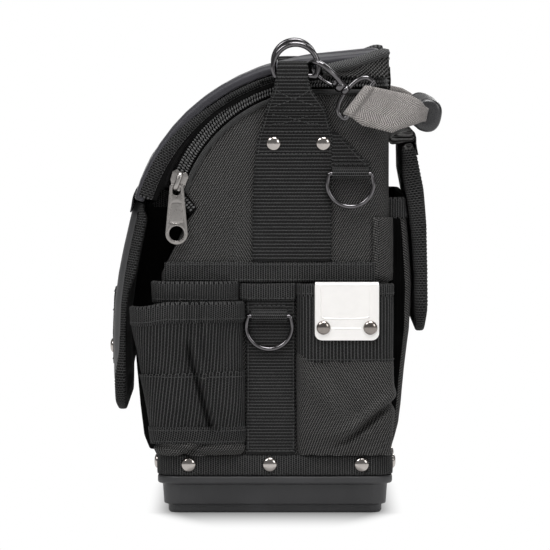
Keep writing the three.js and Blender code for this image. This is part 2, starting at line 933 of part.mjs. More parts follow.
// The pocket across the rear wall, from points up its outer face.
function rearPocket() {
  const height = zipTop - rearPocketDrop - rearPocketFoot;
  const outer = rearPocketOuter.map(([y, share]) =>
    point(halfDepth + y, rearPocketFoot + share * height),
  );
  const back = halfDepth + seat;
  const half = rearPocketHalfWidth;
  const closed = (points, x) => [
    point(x, points[0].y),
    ...points,
    point(x, points.at(-1).y),
  ];
  const lining = back + liningThickness;
  const inner = outer.map((p) =>
    point(Math.max(p.x - pocketWall, lining + 0.4), p.y),
  );
  inner[0].y += pocketWall;
  inner.push(point(inner.at(-1).x, inner.at(-1).y + 10));
  const cavity = alongX(
    closed(inner, lining),
    pocketWall - half,
    half - pocketWall,
  );
  return alongX(closed(outer, back), -half, half).subtract(cavity);
}

// The front pocket's back follows the slant of the front wall, up to the zip's front end.
function frontPocket() {
  const gap = seat + 0.05;
  const nearFlap = onFlap(flapInner.filter(([, down]) => down < 80));
  const lidFront = [
    point(lidFrontY + 8.1, lidFrontZ - 4.4),
    point(lidFrontY + 11.8, lidFrontZ + 2.6),
  ];
  const outer = [
    ...frontPocketFoot.map(([y, z]) => point(-halfDepth - y, pocketFoot + z)),
    point(-halfDepth - frontPocketBelly[0], waistFoot - frontPocketBelly[1]),
    ...nearFlap.slice(0, -1).map((p) => point(p.x + frontPocketSlack, p.y)),
    ...lidFront,
  ];
  const back = [
    point(-halfDepth - gap, pocketFoot),
    point(-halfDepth - gap, slantFoot + 0.1),
    point(slantTop[0] - gap, slantTop[1] + 0.2),
    point(zipCorner[0] - gap * 1.3, zipCorner[1]),
    point(zipCorner[0] - 9.8, zipCorner[1] + 11),
  ];
  const inner = outer.map((p) => point(p.x + pocketWall, p.y));
  inner[0].y += pocketWall;
  const lining = back.map((p) => point(p.x - liningThickness, p.y));
  lining[0].y += pocketWall;
  const mouth = [
    point(inner.at(-1).x, tallEnough),
    point(lining.at(-1).x, tallEnough),
  ];
  const half = frontPocketHalfWidth;
  const cavity = alongX(
    [...inner, ...mouth, ...lining.toReversed()],
    pocketWall - half,
    half - pocketWall,
  );
  return alongX([...outer, ...back.toReversed()], -half, half).subtract(cavity);
}

// A pouch on the side wall, from its rows. Its edge beside the centre strip is fixed.
function pouch(shares, foot, top, fixedEdge, power) {
  const rows = shares.map(([share, y, x]) => [foot + share * (top - foot), y, x]);
  const away = Math.sign(fixedEdge - centreStripMiddle);
  const level = (z, pastEnd, pastSide, inset) => {
    const edge = away * (halfDepth + pastEnd);
    const middle = (edge + fixedEdge) / 2;
    const half = Math.abs(edge - fixedEdge) / 2 - inset;
    const reach = halfWidth + pastSide - pouchMiddleX - inset;
    return superEllipse(pouchMiddleX, middle, reach, half, power, 24).map((p) =>
      place(p.x, p.y, z),
    );
  };
  const outer = rows.map(([z, y, x]) => level(z, y, x, 0));
  const inner = rows.map(([z, y, x], i) =>
    level(i === 0 ? z + pocketWall : z, y, x, pocketWall),
  );
  const [z, y, x] = rows.at(-1);
  inner.push(level(z + 10, y, x, pocketWall));
  return loft(outer).subtract(loft(inner)).subtract(bodySpace);
}

function frontSidePocket() {
  const top = waistFoot - frontPouchDrop;
  return pouch(frontPouch, pocketFoot, top, frontPouchRear, 3.2);
}

function innerSidePocket() {
  const top = waistFoot - 0.5;
  return pouch(innerPouch, innerPouchFoot, top, innerPouchRear, 3.2);
}

function rearSidePocket() {
  const side = box(halfWidth - 8.5, 2 * halfWidth, 0, 2 * halfDepth, 0, tallEnough);
  const top = waistFoot - rearPouchDrop;
  return pouch(rearPouch, pocketFoot, top, rearPouchFront, 5).intersect(side);
}

// Webbing

const faceX = halfWidth + seat + webbingThickness / 2;

function waistBand() {
  const x = halfWidth + seat;
  const outline = [
    point(waistFront, waistFoot),
    point(waistRear, waistFoot),
    point(waistRear, waistTop),
    point(waistFront + 7, waistTop),
  ];
  return alongX(outline, x, x + webbingThickness);
}

// The broad upright strip, whose narrow end stands clear of the zip and loops round the top ring.
function sideWebbing() {
  const line = [
    [faceX, waistTop + seat, uprightHalfWidth, uprightMiddle],
    [faceX, neckTop - 64, uprightHalfWidth, uprightMiddle],
    [faceX + 0.3, neckTop - 53, uprightHalfWidth - 1.1, uprightMiddle + 0.6],
    [faceX + 5.2, neckTop - 38.5, uprightHalfWidth - 6.5, neckMiddle],
    [topRingX - 2.6, neckTop - 24, neckHalfWidth + 4, neckMiddle],
    [topRingX, neckTop - neckLoopDrop, neckHalfWidth, neckMiddle],
  ];
  const rings = line.map(([x, z, half, middle], i) => {
    const lean = i > 1 ? 0.35 : 0;
    const t = webbingThickness / 2;
    return [
      place(x - t, middle - half, z + lean),
      place(x - t, middle + half, z + lean),
      place(x + t, middle + half, z - lean),
      place(x + t, middle - half, z - lean),
    ];
  });
  const heads = [1, -1].map((side) =>
    rivetHead(
      place(
        faceX + webbingThickness / 2,
        uprightMiddle + 4.5 + side * uprightRivetHalfPitch,
        neckTop - uprightRivetDrop,
      ),
      axisX,
    ),
  );
  return joined(loft(rings), neckLoop(), ...heads);
}

function neckLoop() {
  const hole = topWire + seat;
  const r = hole + webbingThickness - 0.4;
  const barZ = topRingZ - topRingRadius * Math.sin(rad(barDrop));
  const outline = [
    point(topRingX - 1.4, neckTop - 24),
    point(topRingX + 1, neckTop - 24),
    point(topRingX + r, neckTop - neckLoopDrop),
    ...arc(topRingX, neckTop - r, r, 0, 180, 6),
    point(topRingX - r, neckTop - neckLoopDrop),
  ];
  const slot = [
    ...arc(topRingX, neckTop - r, hole, 0, 180, 6),
    ...arc(topRingX, barZ, hole, 180, 360, 6),
  ];
  const from = neckMiddle - neckHalfWidth;
  return alongY(outline, from, neckMiddle + neckHalfWidth, [slot]);
}

// A short loop of webbing round a hanging ring's bar, as (x, z).
function keeper(y, z) {
  const hole = ringWire + seat;
  const r = hole + 1.7;
  const x = halfWidth + seat;
  const outline = [
    point(x, z - 1.5),
    ...arc(ringX, z, r, 220, 450, 8),
    point(x + webbingThickness, z + r + 1.5),
    point(x, z + r + 1.5),
  ];
  const eyelet = circle(ringX, z, hole, 10);
  return alongY(outline, y - keeperHalfWidth, y + keeperHalfWidth, [eyelet]);
}

// The rim of the side pockets runs on over this strip.
function centreWebbing() {
  const x = halfWidth + seat;
  const half = centreStripHalfWidth;
  const rim = box(
    x + webbingThickness - 0.4,
    x + webbingThickness + rimBandThickness,
    centreStripMiddle - half,
    centreStripMiddle + half,
    waistFoot - seat - rimBandHeight,
    waistFoot - seat,
  );
  return box(
    x,
    x + webbingThickness,
    centreStripMiddle - half,
    centreStripMiddle + half,
    pocketFoot,
    waistFoot - seat,
  )
    .add(rim)
    .add(keeper(lowerRingY, lowerRingZ));
}

// The webbing that runs down beside the upright strip to the side ring.
function diagonalWebbing() {
  const x = halfWidth + seat;
  const left = uprightMiddle + uprightHalfWidth + seat + 0.2;
  const outline = [
    point(left, sideRingZ - 1.5),
    point(left, sideRingZ + 28.7),
    point(sideRingY + keeperHalfWidth + 0.6, sideRingZ + 5),
    point(sideRingY + keeperHalfWidth + 0.6, sideRingZ - 1.5),
  ];
  return alongX(outline, x, x + webbingThickness).add(
    keeper(sideRingY, sideRingZ),
  );
}

// Cloth round the rear corner, above the side pocket.
function cornerStrip() {
  const foot = waistFoot + 0.5;
  const grow = seat + cornerStripThickness;
  const reach = box(
    rearPocketHalfWidth + seat + 0.2,
    2 * halfWidth,
    halfDepth - 7.5,
    2 * halfDepth,
    foot,
    foot + cornerStripHeight,
  );
  return alongZ(plan(grow), foot, foot + cornerStripHeight)
    .subtract(bodySpace)
    .intersect(reach);
}

// A folded plate over the rim of the side pocket, fixed by two rivets.
function tapeClip() {
  const x = halfWidth + rearPouch.at(-1)[2] + seat;
  const half = clipHalfWidth;
  const face = [
    point(clipY - half, clipTop),
    ...arc(clipY - half + clipCorner, clipFoot + clipCorner, clipCorner, 180, 270, 4),
    ...arc(clipY + half - clipCorner, clipFoot + clipCorner, clipCorner, 270, 360, 4),
    point(clipY + half, clipTop),
  ];
  const inside = x - pocketWall - 2 * seat - 0.5;
  const tongue = [clipY - half + 4, clipY + half - 4];
  const fold = box(
    inside - clipThickness,
    x + clipThickness,
    ...tongue,
    clipTop - clipThickness,
    clipTop,
  );
  const back = box(
    inside - clipThickness,
    inside,
    ...tongue,
    clipTop - clipTongue,
    clipTop,
  );
  const heads = [1, -1].map((side) =>
    rivetHead(
      place(
        x + clipThickness - 0.1,
        clipY + side * clipRivetHalfPitch,
        clipFoot + clipRivetRise,
      ),
      axisX,
    ),
  );
  return joined(alongX(face, x, x + clipThickness), fold, back, ...heads);
}

// Rings

// A D-ring in the y-z plane. Its bar is below its arc when up is 1, and above it when up is -1.
function dRing(x, y, z, radius, wire, up) {
  const at = arc(0, 0, radius, -barDrop, 180 + barDrop, 12);
  const line = at.map((p) => place(x, y + p.x, z + up * p.y));
  const bow = bar(line, wire, 13, 6);
  const reach = radius * Math.cos(rad(barDrop)) + wire * 0.55;
  const barZ = z - up * radius * Math.sin(rad(barDrop));
  return bow.add(rod(place(x, y - reach, barZ), axisY, wire, 2 * reach, 8));
}

const hangDrop = ringRadius * Math.sin(rad(barDrop));

const topRing = () =>
  dRing(topRingX, topRingY, topRingZ, topRingRadius, topWire, 1);
const hangingRing = (y, z) =>
  dRing(ringX, y, z - hangDrop, ringRadius, ringWire, -1);

// Handle and hooks

const slopeDown = (degrees) =>
  place(0, Math.cos(rad(degrees)), -Math.sin(rad(degrees)));
const alongHook = slopeDown(hookSlope);
const acrossHook = place(0, Math.sin(rad(hookSlope)), Math.cos(rad(hookSlope)));
const hookSide = axisX
  .clone()
  .multiplyScalar(Math.cos(rad(hookRoll)))
  .addScaledVector(acrossHook, Math.sin(rad(hookRoll)));
const ringContact = place(
  topRingX,
  topRingY + topRingRadius * Math.cos(rad(hookContact)),
  topRingZ + topRingRadius * Math.sin(rad(hookContact)),
);
const bendMiddle = ringContact
  .clone()
  .addScaledVector(alongHook, hookBend - hookReach);

const inHook = (a, b) =>
  bendMiddle.clone().addScaledVector(alongHook, a).addScaledVector(hookSide, b);
const inEye = (a, w) =>
  bendMiddle.clone().addScaledVector(alongHook, a).addScaledVector(acrossHook, w);

function snapHook() {
  const bend = arc(0, 0, hookBend, 90, 270, 10).map((p) => inHook(p.x, p.y));
  const wire = [
    inHook(bossFrom + 1.5, 3.2),
    inHook(11.5, 6.6),
    inHook(6, 8.2),
    ...bend,
    inHook(3.6, -hookBend - 0.3),
  ];
  const boss = rod(
    inHook(bossFrom, 0),
    alongHook,
    bossRadius,
    bossTo - bossFrom,
    12,
  );
  const bore = rod(inHook(0, 0), alongHook, postRadius + seat, 40, 8);
  const room = rod(inHook(0, 0), alongHook, postHeadRadius + 0.4, bossFrom, 10);
  return bar(wire, hookWire, 18, 6).add(boss).subtract(bore).subtract(room);
}

function hookGate() {
  const line = [
    inHook(gateFoot, -6.2),
    inHook(9.6, -8.1),
    inHook(4.3, -hookBend - 0.5),
  ];
  return bar(line, gateWire, 5, 7);
}

function swivelEye() {
  const arch = [
    inEye(eyeBarAt, -eyeHalfWidth),
    inEye(28.4, -eyeHalfWidth + 0.6),
    inEye(24.2, 5.8 - eyeHalfWidth),
    inEye(22.6, 0),
    inEye(24.2, eyeHalfWidth - 5.8),
    inEye(28.4, eyeHalfWidth - 0.6),
    inEye(eyeBarAt, eyeHalfWidth),
  ];
  const barRod = rod(
    inEye(eyeBarAt, -eyeHalfWidth - eyeWire * 0.6),
    acrossHook,
    eyeWire,
    2 * eyeHalfWidth + eyeWire * 1.2,
    10,
  );
  const headTop = bossFrom - seat;
  const head = rod(inEye(headTop - 2, 0), alongHook, postHeadRadius, 2, 10);
  const post = rod(inEye(headTop - 1, 0), alongHook, postRadius, 9, 8);
  const collar = rod(inEye(bossTo + seat, 0), alongHook, 3.8, 3.2, 10);
  return joined(bar(arch, eyeWire, 14, 6), barRod, head, post, collar);
}

const alongStrap = slopeDown(strapSlope);
const acrossStrap = place(
  0,
  Math.sin(rad(strapSlope)),
  Math.cos(rad(strapSlope)),
);
const eyeBarMiddle = inEye(eyeBarAt, 0);

// The outline is given as (along the strap from the eye's bar, inward from it), swept across the strap.
function acrossTheStrap(points, half, holes) {
  const inward = axisX.clone().negate();
  const basis = new THREE.Matrix4().makeBasis(alongStrap, inward, acrossStrap);
  const at = eyeBarMiddle.clone().addScaledVector(acrossStrap, -half);
  basis.setPosition(at);
  return solid(extruded(points, 2 * half, basis, holes));
}

function handleWebbing() {
  const t = strapThickness / 2;
  const turn = strapRun - strapCorner;
  const end = topRingX - (gripHalfLength - gripSlotDepth + seat);
  const outline = [
    ...arc(0, 0, strapEyelet, 40, 320, 8),
    point(10, -t),
    point(20, -t),
    ...arc(turn, strapCorner, strapCorner + t, -90, 0, 6),
    point(strapRun + t, end),
    point(strapRun - t, end),
    ...arc(turn, strapCorner, strapCorner - t, 0, -90, 6),
    point(20, t),
    point(10, t),
  ];
  const hole = circle(0, 0, strapEyelet - 1.5, 10);
  const strap = acrossTheStrap(outline, strapHalfWidth, [hole]);
  // Near the eye the strap leans over, to lie square to the eye's bar.
  const lean = Math.tan(rad(hookSlope - strapSlope));
  return strap.warp((v) => {
    const from = place(v[0], v[1], v[2]).sub(eyeBarMiddle);
    const s = from.dot(alongStrap);
    const fade = THREE.MathUtils.clamp((24 - s) / 18, 0, 1);
    const shift = from.dot(acrossStrap) * lean * fade;
    v[1] += alongStrap.y * shift;
    v[2] += alongStrap.z * shift;
  });
}

function handleGrip() {
  const middle = eyeBarMiddle.clone().addScaledVector(alongStrap, gripAlong);
  const stations = [
    [-1, 0.9],
    [-0.975, 1],
    [-0.9, 1],
    [-0.88, 0.94],
    [-0.55, 1],
    [0, 1.04],
    [0.55, 1],
    [0.88, 0.94],
    [0.9, 1],
    [0.975, 1],
    [1, 0.9],
  ];
  const rings = stations.map(([share, size]) =>
    superEllipse(0, 0, gripHalfDepth * size, gripHalfHeight * size, 2.4, 16).map(
      (p) =>
        place(share * gripHalfLength, middle.y, middle.z)
          .addScaledVector(alongStrap, p.x)
          .addScaledVector(acrossStrap, p.y),
    ),
  );
  const x = gripHalfLength - gripSlotDepth;
  const slot = acrossTheStrap(
    [
      point(strapRun - strapThickness / 2 - 0.4, 0),
      point(strapRun + strapThickness / 2 + 0.4, 0),
      point(strapRun + strapThickness / 2 + 0.4, topRingX - x),
      point(strapRun - strapThickness / 2 - 0.4, topRingX - x),
    ],
    strapHalfWidth + 0.4,
  );
  return loft(rings).subtract(slot).subtract(slot.mirror([1, 0, 0]));
}

// Zip slider and pull

const sliderOut = zipArc(1, sliderAngle, sliderAngle, 1)[0];
const sliderRadial = place(
  0,
  sliderOut.x - zipCentreY,
  sliderOut.y - zipCentreZ,
);
const sliderDown = axisX.clone().cross(sliderRadial);
const sliderMiddle = place(0, zipCentreY, zipCentreZ).addScaledVector(
  sliderRadial,
  zipRadius,
);

// From (away from the arc's centre, down along the zip, x) to the frame.
function onSlider(shape) {
  const basis = new THREE.Matrix4().makeBasis(sliderRadial, sliderDown, axisX);
  basis.setPosition(sliderMiddle);
  return shape.transform([...basis.elements]);
}

const coilFace = halfWidth - wall / 2 + coilThickness / 2;

function zipSlider() {
  const w = sliderHalfWidth;
  const outline = [
    point(-w, -sliderHalfLength + 3),
    point(-w + 2.4, -sliderHalfLength),
    point(w - 2.4, -sliderHalfLength),
    point(w, -sliderHalfLength + 3),
    point(w - 1.5, sliderHalfLength - 2),
    point(w - 2.8, sliderHalfLength),
    point(-w + 2.8, sliderHalfLength),
    point(-w + 1.5, sliderHalfLength - 2),
  ];
  const low = coilFace + seat;
  const plate = alongZ(outline, low, low + sliderPlate);
  const flange = box(
    -seamHalf + 0.45,
    -coilHalf - seat,
    -sliderHalfLength + 2,
    sliderHalfLength - 3,
    low - 1.2,
    low + sliderPlate,
  );
  const top = low + sliderPlate - 0.4;
  const bridge = bar(
    [
      place(0, -5.4, top),
      place(0, -4.6, bridgeTop - 1.2),
      place(0, -2.6, bridgeTop),
      place(0, 3.6, bridgeTop),
      place(0, 5.9, bridgeTop - 1.2),
      place(0, 6.1, top),
    ],
    bridgeWire,
    14,
    6,
  );
  return onSlider(joined(plate, flange, bridge));
}

const pullHinge = sliderMiddle.clone().addScaledVector(sliderDown, pullPivot);

// A plate that hangs from the slider's bridge, with a slot at its head and a round hole near its foot.
function zipPull() {
  const top = 0.7;
  const foot = top - pullLength;
  const r = pullFootWidth / 2;
  const outline = [
    ...arc(0, foot + r, r, 180, 360, 8),
    point(r - 0.6, foot + r + 9),
    point(pullTopWidth / 2, foot + r + 17),
    point(pullTopWidth / 2, top - 1),
    point(pullTopWidth / 2 - 1, top),
    point(1 - pullTopWidth / 2, top),
    point(-pullTopWidth / 2, top - 1),
    point(-pullTopWidth / 2, foot + r + 17),
    point(0.6 - r, foot + r + 9),
  ];
  const slot = roundedRectangle(2.7, 2.7, 1.2, 2).map((p) =>
    point(p.x, p.y - 0.7 - 2.7),
  );
  const hole = circle(0, foot + r, pullHole, 14);
  const half = pullThickness / 2;
  const at = pullHinge;
  const placed = (points) => points.map((p) => point(p.x + at.y, p.y + at.z));
  return alongX(placed(outline), pullX - half, pullX + half, [
    placed(slot),
    placed(hole),
  ]);
}

// Assembly

const group = new THREE.Group();
group.name = "zippered_tool_bag";

function one(name, shape, look) {
  group.add(mesh(name, shape, look));
}

function both(name, shape, look) {
  one(`${name}_right`, shape, look);
  one(`${name}_left`, shape.mirror([1, 0, 0]), look);
}

one("base_tray", baseTray(), plastic);
one("base_band", baseBand(), webbing);
one("body_shell", bodyShell(), cloth);
one("divider_panel", dividerPanel(), lining);
one("rear_pocket", rearPocket(), cloth);
one("front_pocket", frontPocket(), cloth);
one("rear_flap_root", rearFlapRoot(), cloth);
both("front_side_pocket", frontSidePocket(), webbing);
both("inner_side_pocket", innerSidePocket(), webbing);
both("rear_side_pocket", rearSidePocket(), cloth);
both("waist_band", waistBand(), webbing);
both("side_webbing", sideWebbing(), webbing);
both("centre_webbing", centreWebbing(), webbing);
both("diagonal_webbing", diagonalWebbing(), webbing);
both("corner_strip", cornerStrip(), cloth);
both("zip_row_lower", lowerZipRow(), lining);
one("tape_clip", tapeClip(), nickel);

one("lid_shell", lidShell(), cloth);
one("lid_panel", lidPanel(), smoothPanel);
both("lid_binding", lidBinding(), webbing);
both("zip_row_upper", zipRow(1), lining);
one("front_flap", frontFlap(), smoothPanel);
one("flap_pull_tab", flapPullTab(), webbing);
one("rear_flap", rearFlap(), cloth);

both("zip_slider", zipSlider(), nickel);
both("zip_pull", zipPull(), nickel);
both("top_ring", topRing(), blackMetal);
both("side_ring", hangingRing(sideRingY, sideRingZ), blackMetal);
both("lower_ring", hangingRing(lowerRingY, lowerRingZ), blackMetal);
both("snap_hook", snapHook(), blackMetal);
both("hook_gate", hookGate(), blackMetal);
both("swivel_eye", swivelEye(), blackMetal);
both("handle_webbing", handleWebbing(), greyStrap);
one("handle_grip", handleGrip(), rubber);

export default group;
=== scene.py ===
# A soft-sided tool bag on a moulded base, dressed around its CAD frame.
# Lengths are in millimetres until a mesh is made. +X is the bag's right side, and the front faces -Y.
# Side pieces are drawn for the right, and a piece whose name ends in _left is mirrored.
import math

import bpy
import numpy as np
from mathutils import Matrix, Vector, noise


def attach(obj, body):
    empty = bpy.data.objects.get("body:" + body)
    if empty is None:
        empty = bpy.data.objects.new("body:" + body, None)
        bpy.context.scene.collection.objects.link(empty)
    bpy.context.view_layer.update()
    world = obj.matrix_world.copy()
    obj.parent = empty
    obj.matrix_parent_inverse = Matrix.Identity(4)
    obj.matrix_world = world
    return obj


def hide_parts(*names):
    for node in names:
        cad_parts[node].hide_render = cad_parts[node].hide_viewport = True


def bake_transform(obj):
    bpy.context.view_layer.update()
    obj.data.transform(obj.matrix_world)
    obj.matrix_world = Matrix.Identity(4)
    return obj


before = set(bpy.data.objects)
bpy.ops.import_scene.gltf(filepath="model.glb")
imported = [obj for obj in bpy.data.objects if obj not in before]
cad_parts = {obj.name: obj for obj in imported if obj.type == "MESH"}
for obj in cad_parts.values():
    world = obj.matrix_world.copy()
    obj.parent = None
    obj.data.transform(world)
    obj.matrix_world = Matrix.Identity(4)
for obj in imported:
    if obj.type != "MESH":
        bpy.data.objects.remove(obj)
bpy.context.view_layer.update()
MM = 0.001
SIDES = ("_right", "_left")
RIGHT, REAR, UP = (1, 0, 0), (0, 1, 0), (0, 0, 1)
span = np.linspace


# Vectors and outlines


def vec(*p):
    return np.array(p, float)


def unit(a):
    a = np.asarray(a, float)
    return a / np.maximum(np.linalg.norm(a, axis=-1, keepdims=True), 1e-12)


def arc(y, z, r, angles):
    t = np.radians(angles)
    return np.stack([y + r * np.cos(t), z + r * np.sin(t)], 1)


def lengths(points):
    return np.r_[0, np.cumsum(np.linalg.norm(np.diff(points, axis=0), axis=1))]


def spread(points, count):
    """Points at even steps along a line."""
    p = np.asarray(points, float)
    d = lengths(p)
    s = span(0, d[-1], count)
    return np.stack([np.interp(s, d, p[:, k]) for k in range(p.shape[1])], 1)


def resample(points, step_length):
    total = lengths(np.asarray(points, float))[-1]
    return spread(points, max(int(round(total / step_length)), 1) + 1)


def spline(points, n=8):
    """A smooth curve through the points, n steps to a stretch."""
    p = np.asarray(points, float)
    q = np.vstack([2 * p[0] - p[1], p, 2 * p[-1] - p[-2]])
    out = []
    for a, b, c, d in zip(q, q[1:], q[2:], q[3:]):
        for t in span(0, 1, n, endpoint=False):
            curve = (2 * a - 5 * b + 4 * c - d) * t**2 + (3 * b - a - 3 * c + d) * t**3
            out.append(0.5 * (2 * b + (c - a) * t + curve))
    return np.array(out + [p[-1]])


def rounded(points, radius, n=5, most=0.48, closed=True):
    """An outline with its corners rounded."""
    p = np.asarray(points, float)
    out = []
    for i, b in enumerate(p):
        if not closed and i in (0, len(p) - 1):
            out.append(tuple(b))
            continue
        a, c = p[i - 1], p[(i + 1) % len(p)]
        da, dc = np.linalg.norm(a - b), np.linalg.norm(c - b)
        k = min(radius, da * most, dc * most)
        q, r = b + (a - b) * k / da, b + (c - b) * k / dc
        for t in span(0, 1, n):
            out.append(tuple((1 - t) ** 2 * q + 2 * t * (1 - t) * b + t * t * r))
    return out


def wobble(p, size, seed=0.0):
    """Smooth noise from -1 to 1 at points in millimetres."""
    flat = np.asarray(p, float).reshape(-1, 3) / size + seed
    values = np.array([noise.noise(Vector(q)) for q in flat])
    return values.reshape(np.asarray(p).shape[:-1])


def bump(value, middle, width):
    return np.exp(-(((value - middle) / width) ** 2))


def step(value, a, b):
    t = np.clip((value - a) / (b - a), 0, 1)
    return t * t * (3 - 2 * t)


def at_height(points, z):
    p = np.array(sorted(points, key=lambda q: q[1]))
    return np.interp(z, p[:, 1], p[:, 0])


# Meshes


def volume(v, faces):
    fans = [(f[0], f[k], f[k + 1]) for f in faces for k in range(1, len(f) - 1)]
    a, b, c = np.array(fans).T
    return float((v[a] * np.cross(v[b], v[c])).sum())


def link_object(name, data):
    o = bpy.data.objects.new(name, data)
    bpy.context.scene.collection.objects.link(o)
    return o


def set_coords(o, coords):
    """Keeps each vertex's place on the cloth, from which the weave is drawn."""
    at = o.data.attributes.new("cloth", "FLOAT_VECTOR", "POINT")
    at.data.foreach_set("vector", np.asarray(coords, np.float32).ravel())


def mesh_object(name, verts, faces, coords=None, mirrored=True):
    v = np.array(verts, float)
    if mirrored and name.endswith("_left"):
        v[:, 0] *= -1
    if volume(v, faces) < 0:
        faces = [f[::-1] for f in faces]
    data = bpy.data.meshes.new(name)
    data.from_pydata((v * MM).tolist(), [], [tuple(int(i) for i in f) for f in faces])
    data.update()
    data.shade_smooth()
    o = link_object(name, data)
    set_coords(o, verts if coords is None else coords)
    return o


def dress(o, material, body, slot, *replaced, padded=None):
    o.data.materials.clear()
    o.data.materials.append(material)
    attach(o, body)
    if replaced:
        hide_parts(*replaced)
    return o


def put(name, shape, material, body, slot, *replaced):
    """Makes a piece from one shape, or from a heap of them."""
    if isinstance(shape, Heap):
        shape = shape.shape()
    return dress(mesh_object(name, *shape), material, body, slot, *replaced)


def line_inside(o, inside):
    """Gives the lining to the faces whose middle passes the test."""
    o.data.materials.append(LINING)
    for face in o.data.polygons:
        if inside(np.array(face.center) / MM, face.normal):
            face.material_index = 1


class Heap:
    """Collects many small shapes into one mesh."""

    def __init__(self, *shapes):
        self.v, self.f, self.c = [], [], []
        self.n = 0
        for shape in shapes:
            self.add(shape)

    def add(self, shape):
        verts, faces, coords = shape
        self.v.append(np.asarray(verts, float))
        self.c.append(np.asarray(coords, float))
        self.f += [tuple(i + self.n for i in f) for f in faces]
        self.n += len(verts)

    def shape(self):
        return np.vstack(self.v), self.f, np.vstack(self.c)

    def sew(self, line, out=RIGHT, pitch=2.9, length=1.9, radius=0.36):
        """Adds thread that dips in and out along a line that lies on the cloth."""
        line = np.asarray(line, float)
        s = lengths(line)
        count = max(int(s[-1] / pitch), 1)
        both = np.hstack([line, np.broadcast_to(np.asarray(out, float), line.shape)])
        for i in range(count):
            pts = []
            for k in (-0.5, -0.28, 0, 0.28, 0.5):
                d = min(max((i + 0.5) * s[-1] / count + k * length, 0), s[-1])
                p = np.array([np.interp(d, s, column) for column in both.T])
                pts.append(p[:3] + unit(p[3:]) * (radius * (0.55 if abs(k) < 0.4 else -0.6)))
            self.add(tube(pts, radius, 6))


def grid_faces(rows, cols, wrap=False):
    faces = []
    for i in range(rows - 1):
        for j in range(cols if wrap else cols - 1):
            k = (j + 1) % cols
            faces.append((i * cols + j, i * cols + k, (i + 1) * cols + k, (i + 1) * cols + j))
    return faces


def ring_faces(rows, m, closed=False):
    """Faces between rings of m points, which end in caps or close on each other."""
    faces = grid_faces(rows, m, wrap=True)
    last = (rows - 1) * m
    if closed:
        return faces + [(last + j, last + (j + 1) % m, (j + 1) % m, j) for j in range(m)]
    return faces + [tuple(range(m - 1, -1, -1)), tuple(range(last, last + m))]


def sweep(path, across, out, width, thickness, crown=0.0, closed=False):
    """A flat strip along a path: its face looks along out, and its width lies along across."""
    path = np.asarray(path, float)
    n = len(path)
    across = np.broadcast_to(np.asarray(across, float), (n, 3))[:, None]
    out = np.broadcast_to(np.asarray(out, float), (n, 3))[:, None]
    w = np.broadcast_to(np.asarray(width, float), (n,))[:, None] / 2
    t = np.broadcast_to(np.asarray(thickness, float), (n,))[:, None] / 2
    s = span(-1, 1, 9)
    ring = [(-1, 0)] + [(a, 1) for a in s] + [(1, 0)] + [(a, -1) for a in s[::-1]]
    a, b = np.array(ring, float).T
    x = a * (w - np.where((np.abs(a) > 0.99) & (b != 0), t * 0.5, 0.0))
    z = t * b + np.where(b > 0, crown * (1 - a * a), 0.0)
    pts = path[:, None] + across * x[..., None] + out * z[..., None]
    coords = np.stack([a * w, lengths(path)[:, None] + 0 * a, t * b], 2)
    return pts.reshape(-1, 3), ring_faces(n, len(ring), closed), coords.reshape(-1, 3)


def frames(path, closed=False):
    """A steady side and up direction along a path."""
    if closed:
        tangent = unit(np.roll(path, -1, 0) - np.roll(path, 1, 0))
    else:
        tangent = unit(np.gradient(path, axis=0))
    first = vec(*UP) if abs(tangent[0][2]) < 0.9 else vec(*REAR)
    side = unit(np.cross(tangent[0], first))
    sides = [side]
    for t in tangent[1:]:
        side = unit(side - t * (side @ t))
        sides.append(side)
    return tangent, np.array(sides), np.cross(tangent, sides)


def tube(path, radius, sides=14, closed=False):
    """A round bar along a path, with domed ends."""
    path = np.asarray(path, float)
    radius = np.broadcast_to(np.asarray(radius, float), (len(path),))
    tangent, a, b = frames(path, closed)

    def dome(i, way, angle):
        k = math.radians(angle)
        return path[i] + way * tangent[i] * radius[i] * math.sin(k), radius[i] * math.cos(k), a[i], b[i]

    rings = list(zip(path, radius, a, b))
    if not closed:
        rings = [dome(0, -1, 60), dome(0, -1, 30)] + rings + [dome(-1, 1, 30), dome(-1, 1, 60)]
    t = span(0, 2 * math.pi, sides, endpoint=False)
    pts = np.vstack([p + r * (np.outer(np.cos(t), x) + np.outer(np.sin(t), y)) for p, r, x, y in rings])
    return pts, ring_faces(len(rings), sides, closed), pts


def lathe(profile, at, axis, sides=28):
    """A turned shape: the profile gives (radius, height) from its foot to its top."""
    axis = unit(vec(*axis))
    a = unit(np.cross(axis, vec(*UP) if abs(axis[2]) < 0.9 else vec(*REAR)))
    t = span(0, 2 * math.pi, sides, endpoint=False)
    ring = np.outer(np.cos(t), a) + np.outer(np.sin(t), np.cross(axis, a))
    pts = np.vstack([np.asarray(at, float) + axis * h + r * ring for r, h in profile])
    return pts, ring_faces(len(profile), sides), pts


def loop_loft(rings):
    v = np.vstack(rings)
    return v, ring_faces(len(rings), len(rings[0])), v


def face_normals(grid):
    return unit(np.cross(np.gradient(grid, axis=1), np.gradient(grid, axis=0)))


